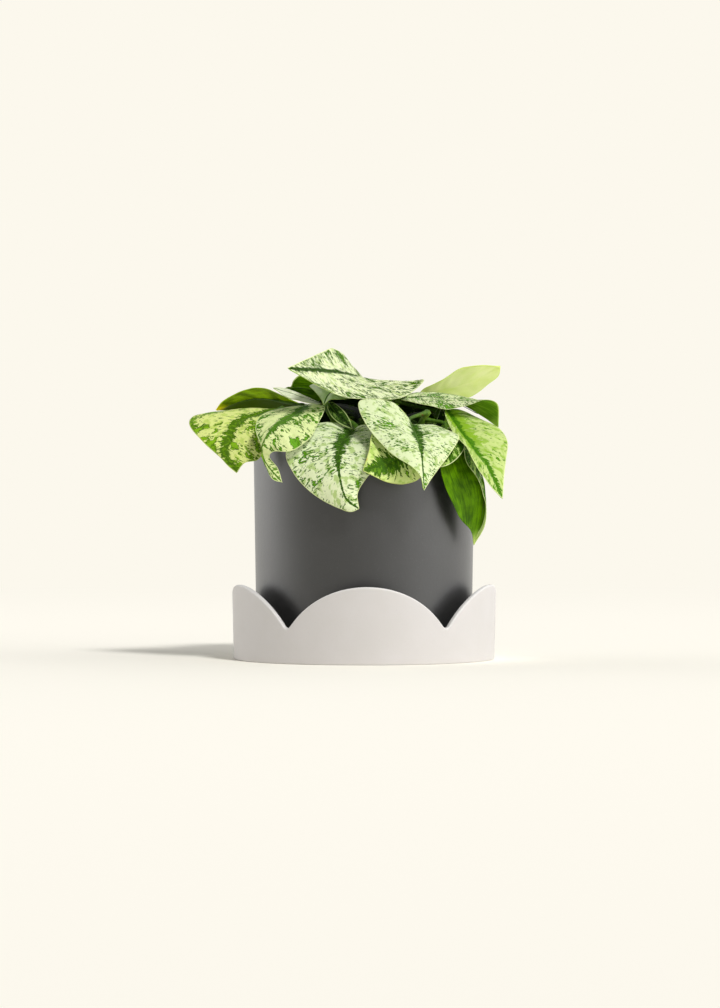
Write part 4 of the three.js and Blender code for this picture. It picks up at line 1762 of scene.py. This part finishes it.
# Leaves that only this dressing has: two near-black sheets of painted shade that fill gaps in the middle
# of the plant, and a young one that is still folded along the stalk of the front leaf
YOUNG_LEAVES = [
    Leaf(
        "leaf_shade_right", "vine_back_right", 0.85, Face.PAINTED_SHADE, back=Back.PAINTED_SHADE,
        rib=[(33, 10, 162), (35, 5, 156), (37, 1, 149), (38, -1, 141)],
        left=[(40, 12, 164), (49, 10, 160), (52, 6, 153), (48, 2, 146)],
        right=[(26, 8, 163), (19, 5, 158), (19, 1, 150), (27, -2, 144)],
        has_solid=False,
    ),
    Leaf(
        "leaf_shade_left", "vine_middle", 0.85, Face.PAINTED_SHADE, back=Back.PAINTED_SHADE,
        rib=[(-14, 10, 168), (-17, 5, 161), (-18, 1, 153), (-17, -1, 145)],
        left=[(-6, 12, 169), (0, 9, 162), (0, 4, 154), (-8, 0, 148)],
        right=[(-22, 10, 168), (-30, 6, 161), (-31, 2, 153), (-24, -1, 147)],
        has_solid=False,
    ),
    Leaf(
        "leaf_young_front", "vine_front", 0.93, Face.SHEATH,
        rib=[(-22, -43, 160), (-17, -48, 154), (-12, -52, 149), (-7, -54, 144)],
        left=[(-20, -42, 161), (-13, -48, 156), (-9, -52, 150)],
        right=[(-23, -45, 158), (-20, -50, 152), (-14, -54, 147)],
        thickness=0.4, rows=40, columns=20, has_solid=False,
    ),
]

# The leaves behind and inside
PLAIN_LEAVES = [
    Arch(
        "leaf_back_top", "vine_middle", 0.9, Face.FEATHERED, base=(4, 26, 167), heading=84, pitch=6,
        droop=46, length=74, width=28, fold=2,
    ),
    Arch(
        "leaf_back_top_left", "vine_back_left", 0.97, Face.SILVER_STREAKED, base=(-20, 32, 161),
        heading=118, pitch=4, droop=50, length=72, width=28,
    ),
    Arch(
        "leaf_back", "vine_back_left", 0.82, Face.ISLANDS, base=(2, 40, 151), heading=90, pitch=4,
        droop=74, length=76, width=28,
    ),
    Arch(
        "leaf_back_left", "vine_back_left", 0.75, Face.SILVER_SPECKLED, base=(-32, 38, 144), heading=134,
        pitch=4, droop=70, length=60, width=25,
    ),
    Arch(
        "leaf_back_right", "vine_back_right", 0.8, Face.STREAKED_GREEN, base=(34, 32, 154), heading=52,
        pitch=4, droop=72, length=76, width=28, fold=4,
    ),
    Arch(
        "leaf_right_back", "vine_right", 0.75, Face.ISLANDS, base=(52, 4, 146), heading=22, droop=60,
        length=50, width=23,
    ),
    Arch(
        "leaf_left_back", "vine_left", 0.75, Face.FEATHERED, base=(-50, 8, 151), heading=170, droop=65,
        length=44, width=20,
    ),
    Arch(
        "leaf_low_left", "vine_back_left", 0.6, Face.STREAKED_GREEN, base=(-20, 46, 140), heading=116,
        droop=78, length=66, width=25,
    ),
    Arch(
        "leaf_low_right", "vine_back_right", 0.6, Face.FEATHERED, base=(22, 44, 140), heading=64,
        droop=78, length=68, width=25,
    ),
    # The two inside leaves wear painted shade on both sides
    Arch(
        "leaf_inside", "vine_middle", 0.7, Face.PAINTED_SHADE, back=Back.PAINTED_SHADE, base=(-2, -8, 158), heading=262,
        pitch=-10, droop=30, length=36, width=21, fold=12,
    ),
    Arch(
        "leaf_inside_right", "vine_front_right", 0.7, Face.PAINTED_SHADE, back=Back.PAINTED_SHADE, base=(26, -20, 153),
        heading=300, pitch=-10, droop=25, length=32, width=15, fold=12,
    ),
]


@dataclass
class Plant:
    """The stems and leaves."""

    coats: Coats

    def build(self) -> None:
        """Makes every stem and leaf."""
        vines = {vine.name: vine for vine in VINES}
        for vine in VINES:
            vine.build(self.coats)
        leaves = SHAPED_LEAVES + [plan.leaf() for plan in PLAIN_LEAVES] + YOUNG_LEAVES
        for seed, leaf in enumerate(leaves, start=1):
            leaf.seed = seed
            leaf.build(self.coats, vines)


# Studio


@dataclass(frozen=True)
class Screen:
    """A wide soft light, far off: where it stands, how bright it is and how narrow."""

    towards: Point
    strength: float
    focus: float


@dataclass
class Studio:
    """A pale floor that runs out to a pale surround, soft screens, a key light and the camera."""

    paper: Colour = srgb(252, 248, 237)
    floor_paper: Colour = srgb(254, 250, 239)
    floor_size: float = 60.0
    floor_cells: int = 24
    lit_near: float = 0.5
    lit_far: float = 1.6
    key_from: Point = (0.38, -0.7, 0.86)
    key_strength: float = 1.95
    key_angle: float = math.radians(12)
    ambient: float = 0.15
    screens: Sequence[Screen] = (
        Screen(towards=(0.985, -0.17, 0.1), strength=2.0, focus=4.0),
        Screen(towards=(0.72, -0.68, 0.12), strength=0.4, focus=4.0),
        Screen(towards=(-0.91, 0.4, 0.0), strength=2.45, focus=6.0),
        Screen(towards=(0.35, 0.92, 0.15), strength=1.3, focus=4.0),
    )
    camera_at: Point = (-2.6, -1900, 97.9)
    focal_length: float = 107.1
    sensor: float = 36.0
    far_clip: float = 100.0

    def build(self) -> None:
        """Makes the stage, the lights and the camera."""
        bpy.context.scene.view_settings.view_transform = "Standard"
        self.floor()
        self.surround()
        self.key()
        self.camera()

    def floor(self) -> None:
        """The floor, lit near the object and of the surround's own light further out."""
        coat = Coat("floor paper")
        x, y, _ = coat.split(coat.place())
        reach = (x * x + y * y) ** 0.5
        coat.dress(Base_Color=self.floor_paper, Roughness=0.9, Specular_IOR_Level=0.0)
        glow = coat.node("ShaderNodeEmission", None, {"Color": self.paper, "Strength": 1.0})
        far = reach.step(self.lit_near, self.lit_far)
        sockets = {0: far, 1: coat.shader.outputs[0], 2: glow.outputs[0]}
        mixed = coat.node("ShaderNodeMixShader", None, sockets)
        coat.feed(coat.tree.nodes["Material Output"].inputs["Surface"], mixed.outputs[0])
        bm = bmesh.new()
        cells = self.floor_cells
        bmesh.ops.create_grid(bm, x_segments=cells, y_segments=cells, size=self.floor_size / 2)
        floor = shown(bm, "floor", [coat.material])
        floor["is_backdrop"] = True

    def surround(self) -> None:
        """The world: what is seen behind the floor, and the light of the wide screens."""
        world = bpy.data.worlds.new("surround")
        world.use_nodes = True
        bpy.context.scene.world = world
        nodes = Nodes(world.node_tree)
        towards = nodes.node("ShaderNodeTexCoord").outputs["Generated"]
        light: Value | float = self.ambient
        for screen in self.screens:
            sockets = {0: towards, 1: Vector(screen.towards).normalized()}
            dot = nodes.node("ShaderNodeVectorMath", {"operation": "DOT_PRODUCT"}, sockets)
            facing = Value(nodes, dot.outputs["Value"]).at_least(0.0)
            light = facing**screen.focus * screen.strength + light
        seen = nodes.node("ShaderNodeLightPath").outputs["Is Camera Ray"]
        background = world.node_tree.nodes["Background"]
        nodes.feed(background.inputs["Color"], self.paper)
        lamps = nodes.node("ShaderNodeBackground", None, {"Color": (1, 1, 1), "Strength": light})
        sockets = {0: seen, 1: lamps.outputs[0], 2: background.outputs[0]}
        mixed = nodes.node("ShaderNodeMixShader", None, sockets)
        nodes.feed(world.node_tree.nodes["World Output"].inputs["Surface"], mixed.outputs[0])

    def key(self) -> None:
        """The key light, from the front right and above."""
        lamp = bpy.data.lights.new("key", "SUN")
        lamp.energy = self.key_strength
        lamp.angle = self.key_angle
        key = bpy.data.objects.new("key", lamp)
        key.rotation_euler = Vector(self.key_from).to_track_quat("Z", "Y").to_euler()
        bpy.context.scene.collection.objects.link(key)

    def camera(self) -> None:
        """The camera, level with the pot's upper half."""
        lens = bpy.data.cameras.new("camera")
        lens.lens = self.focal_length
        lens.sensor_width = self.sensor
        lens.clip_end = self.far_clip
        camera = bpy.data.objects.new("camera", lens)
        camera.location = Vector(self.camera_at) * MM
        camera.rotation_euler = (math.pi / 2, 0, 0)
        bpy.context.scene.collection.objects.link(camera)
        bpy.context.scene.camera = camera


def corners(box: Iterable[Iterable[float]]) -> list[list[float]]:
    """A box as plain lists of numbers."""
    return [[float(number) for number in corner] for corner in box]


def main() -> None:
    """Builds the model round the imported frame."""
    logging.basicConfig(level=logging.INFO, format="%(name)s: %(message)s")
    bpy.ops.wm.read_factory_settings(use_empty=True)
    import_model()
    solids = corners(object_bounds())
    Studio().build()
    coats = Coats()
    for part in (Saucer(coats), Pot(coats), PottingMix(coats), Plant(coats)):
        part.build()
        log.info("built the %s", type(part).__name__)
    {"solids": solids, "dressed": corners(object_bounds())}


if __name__ == "__main__":
    main()
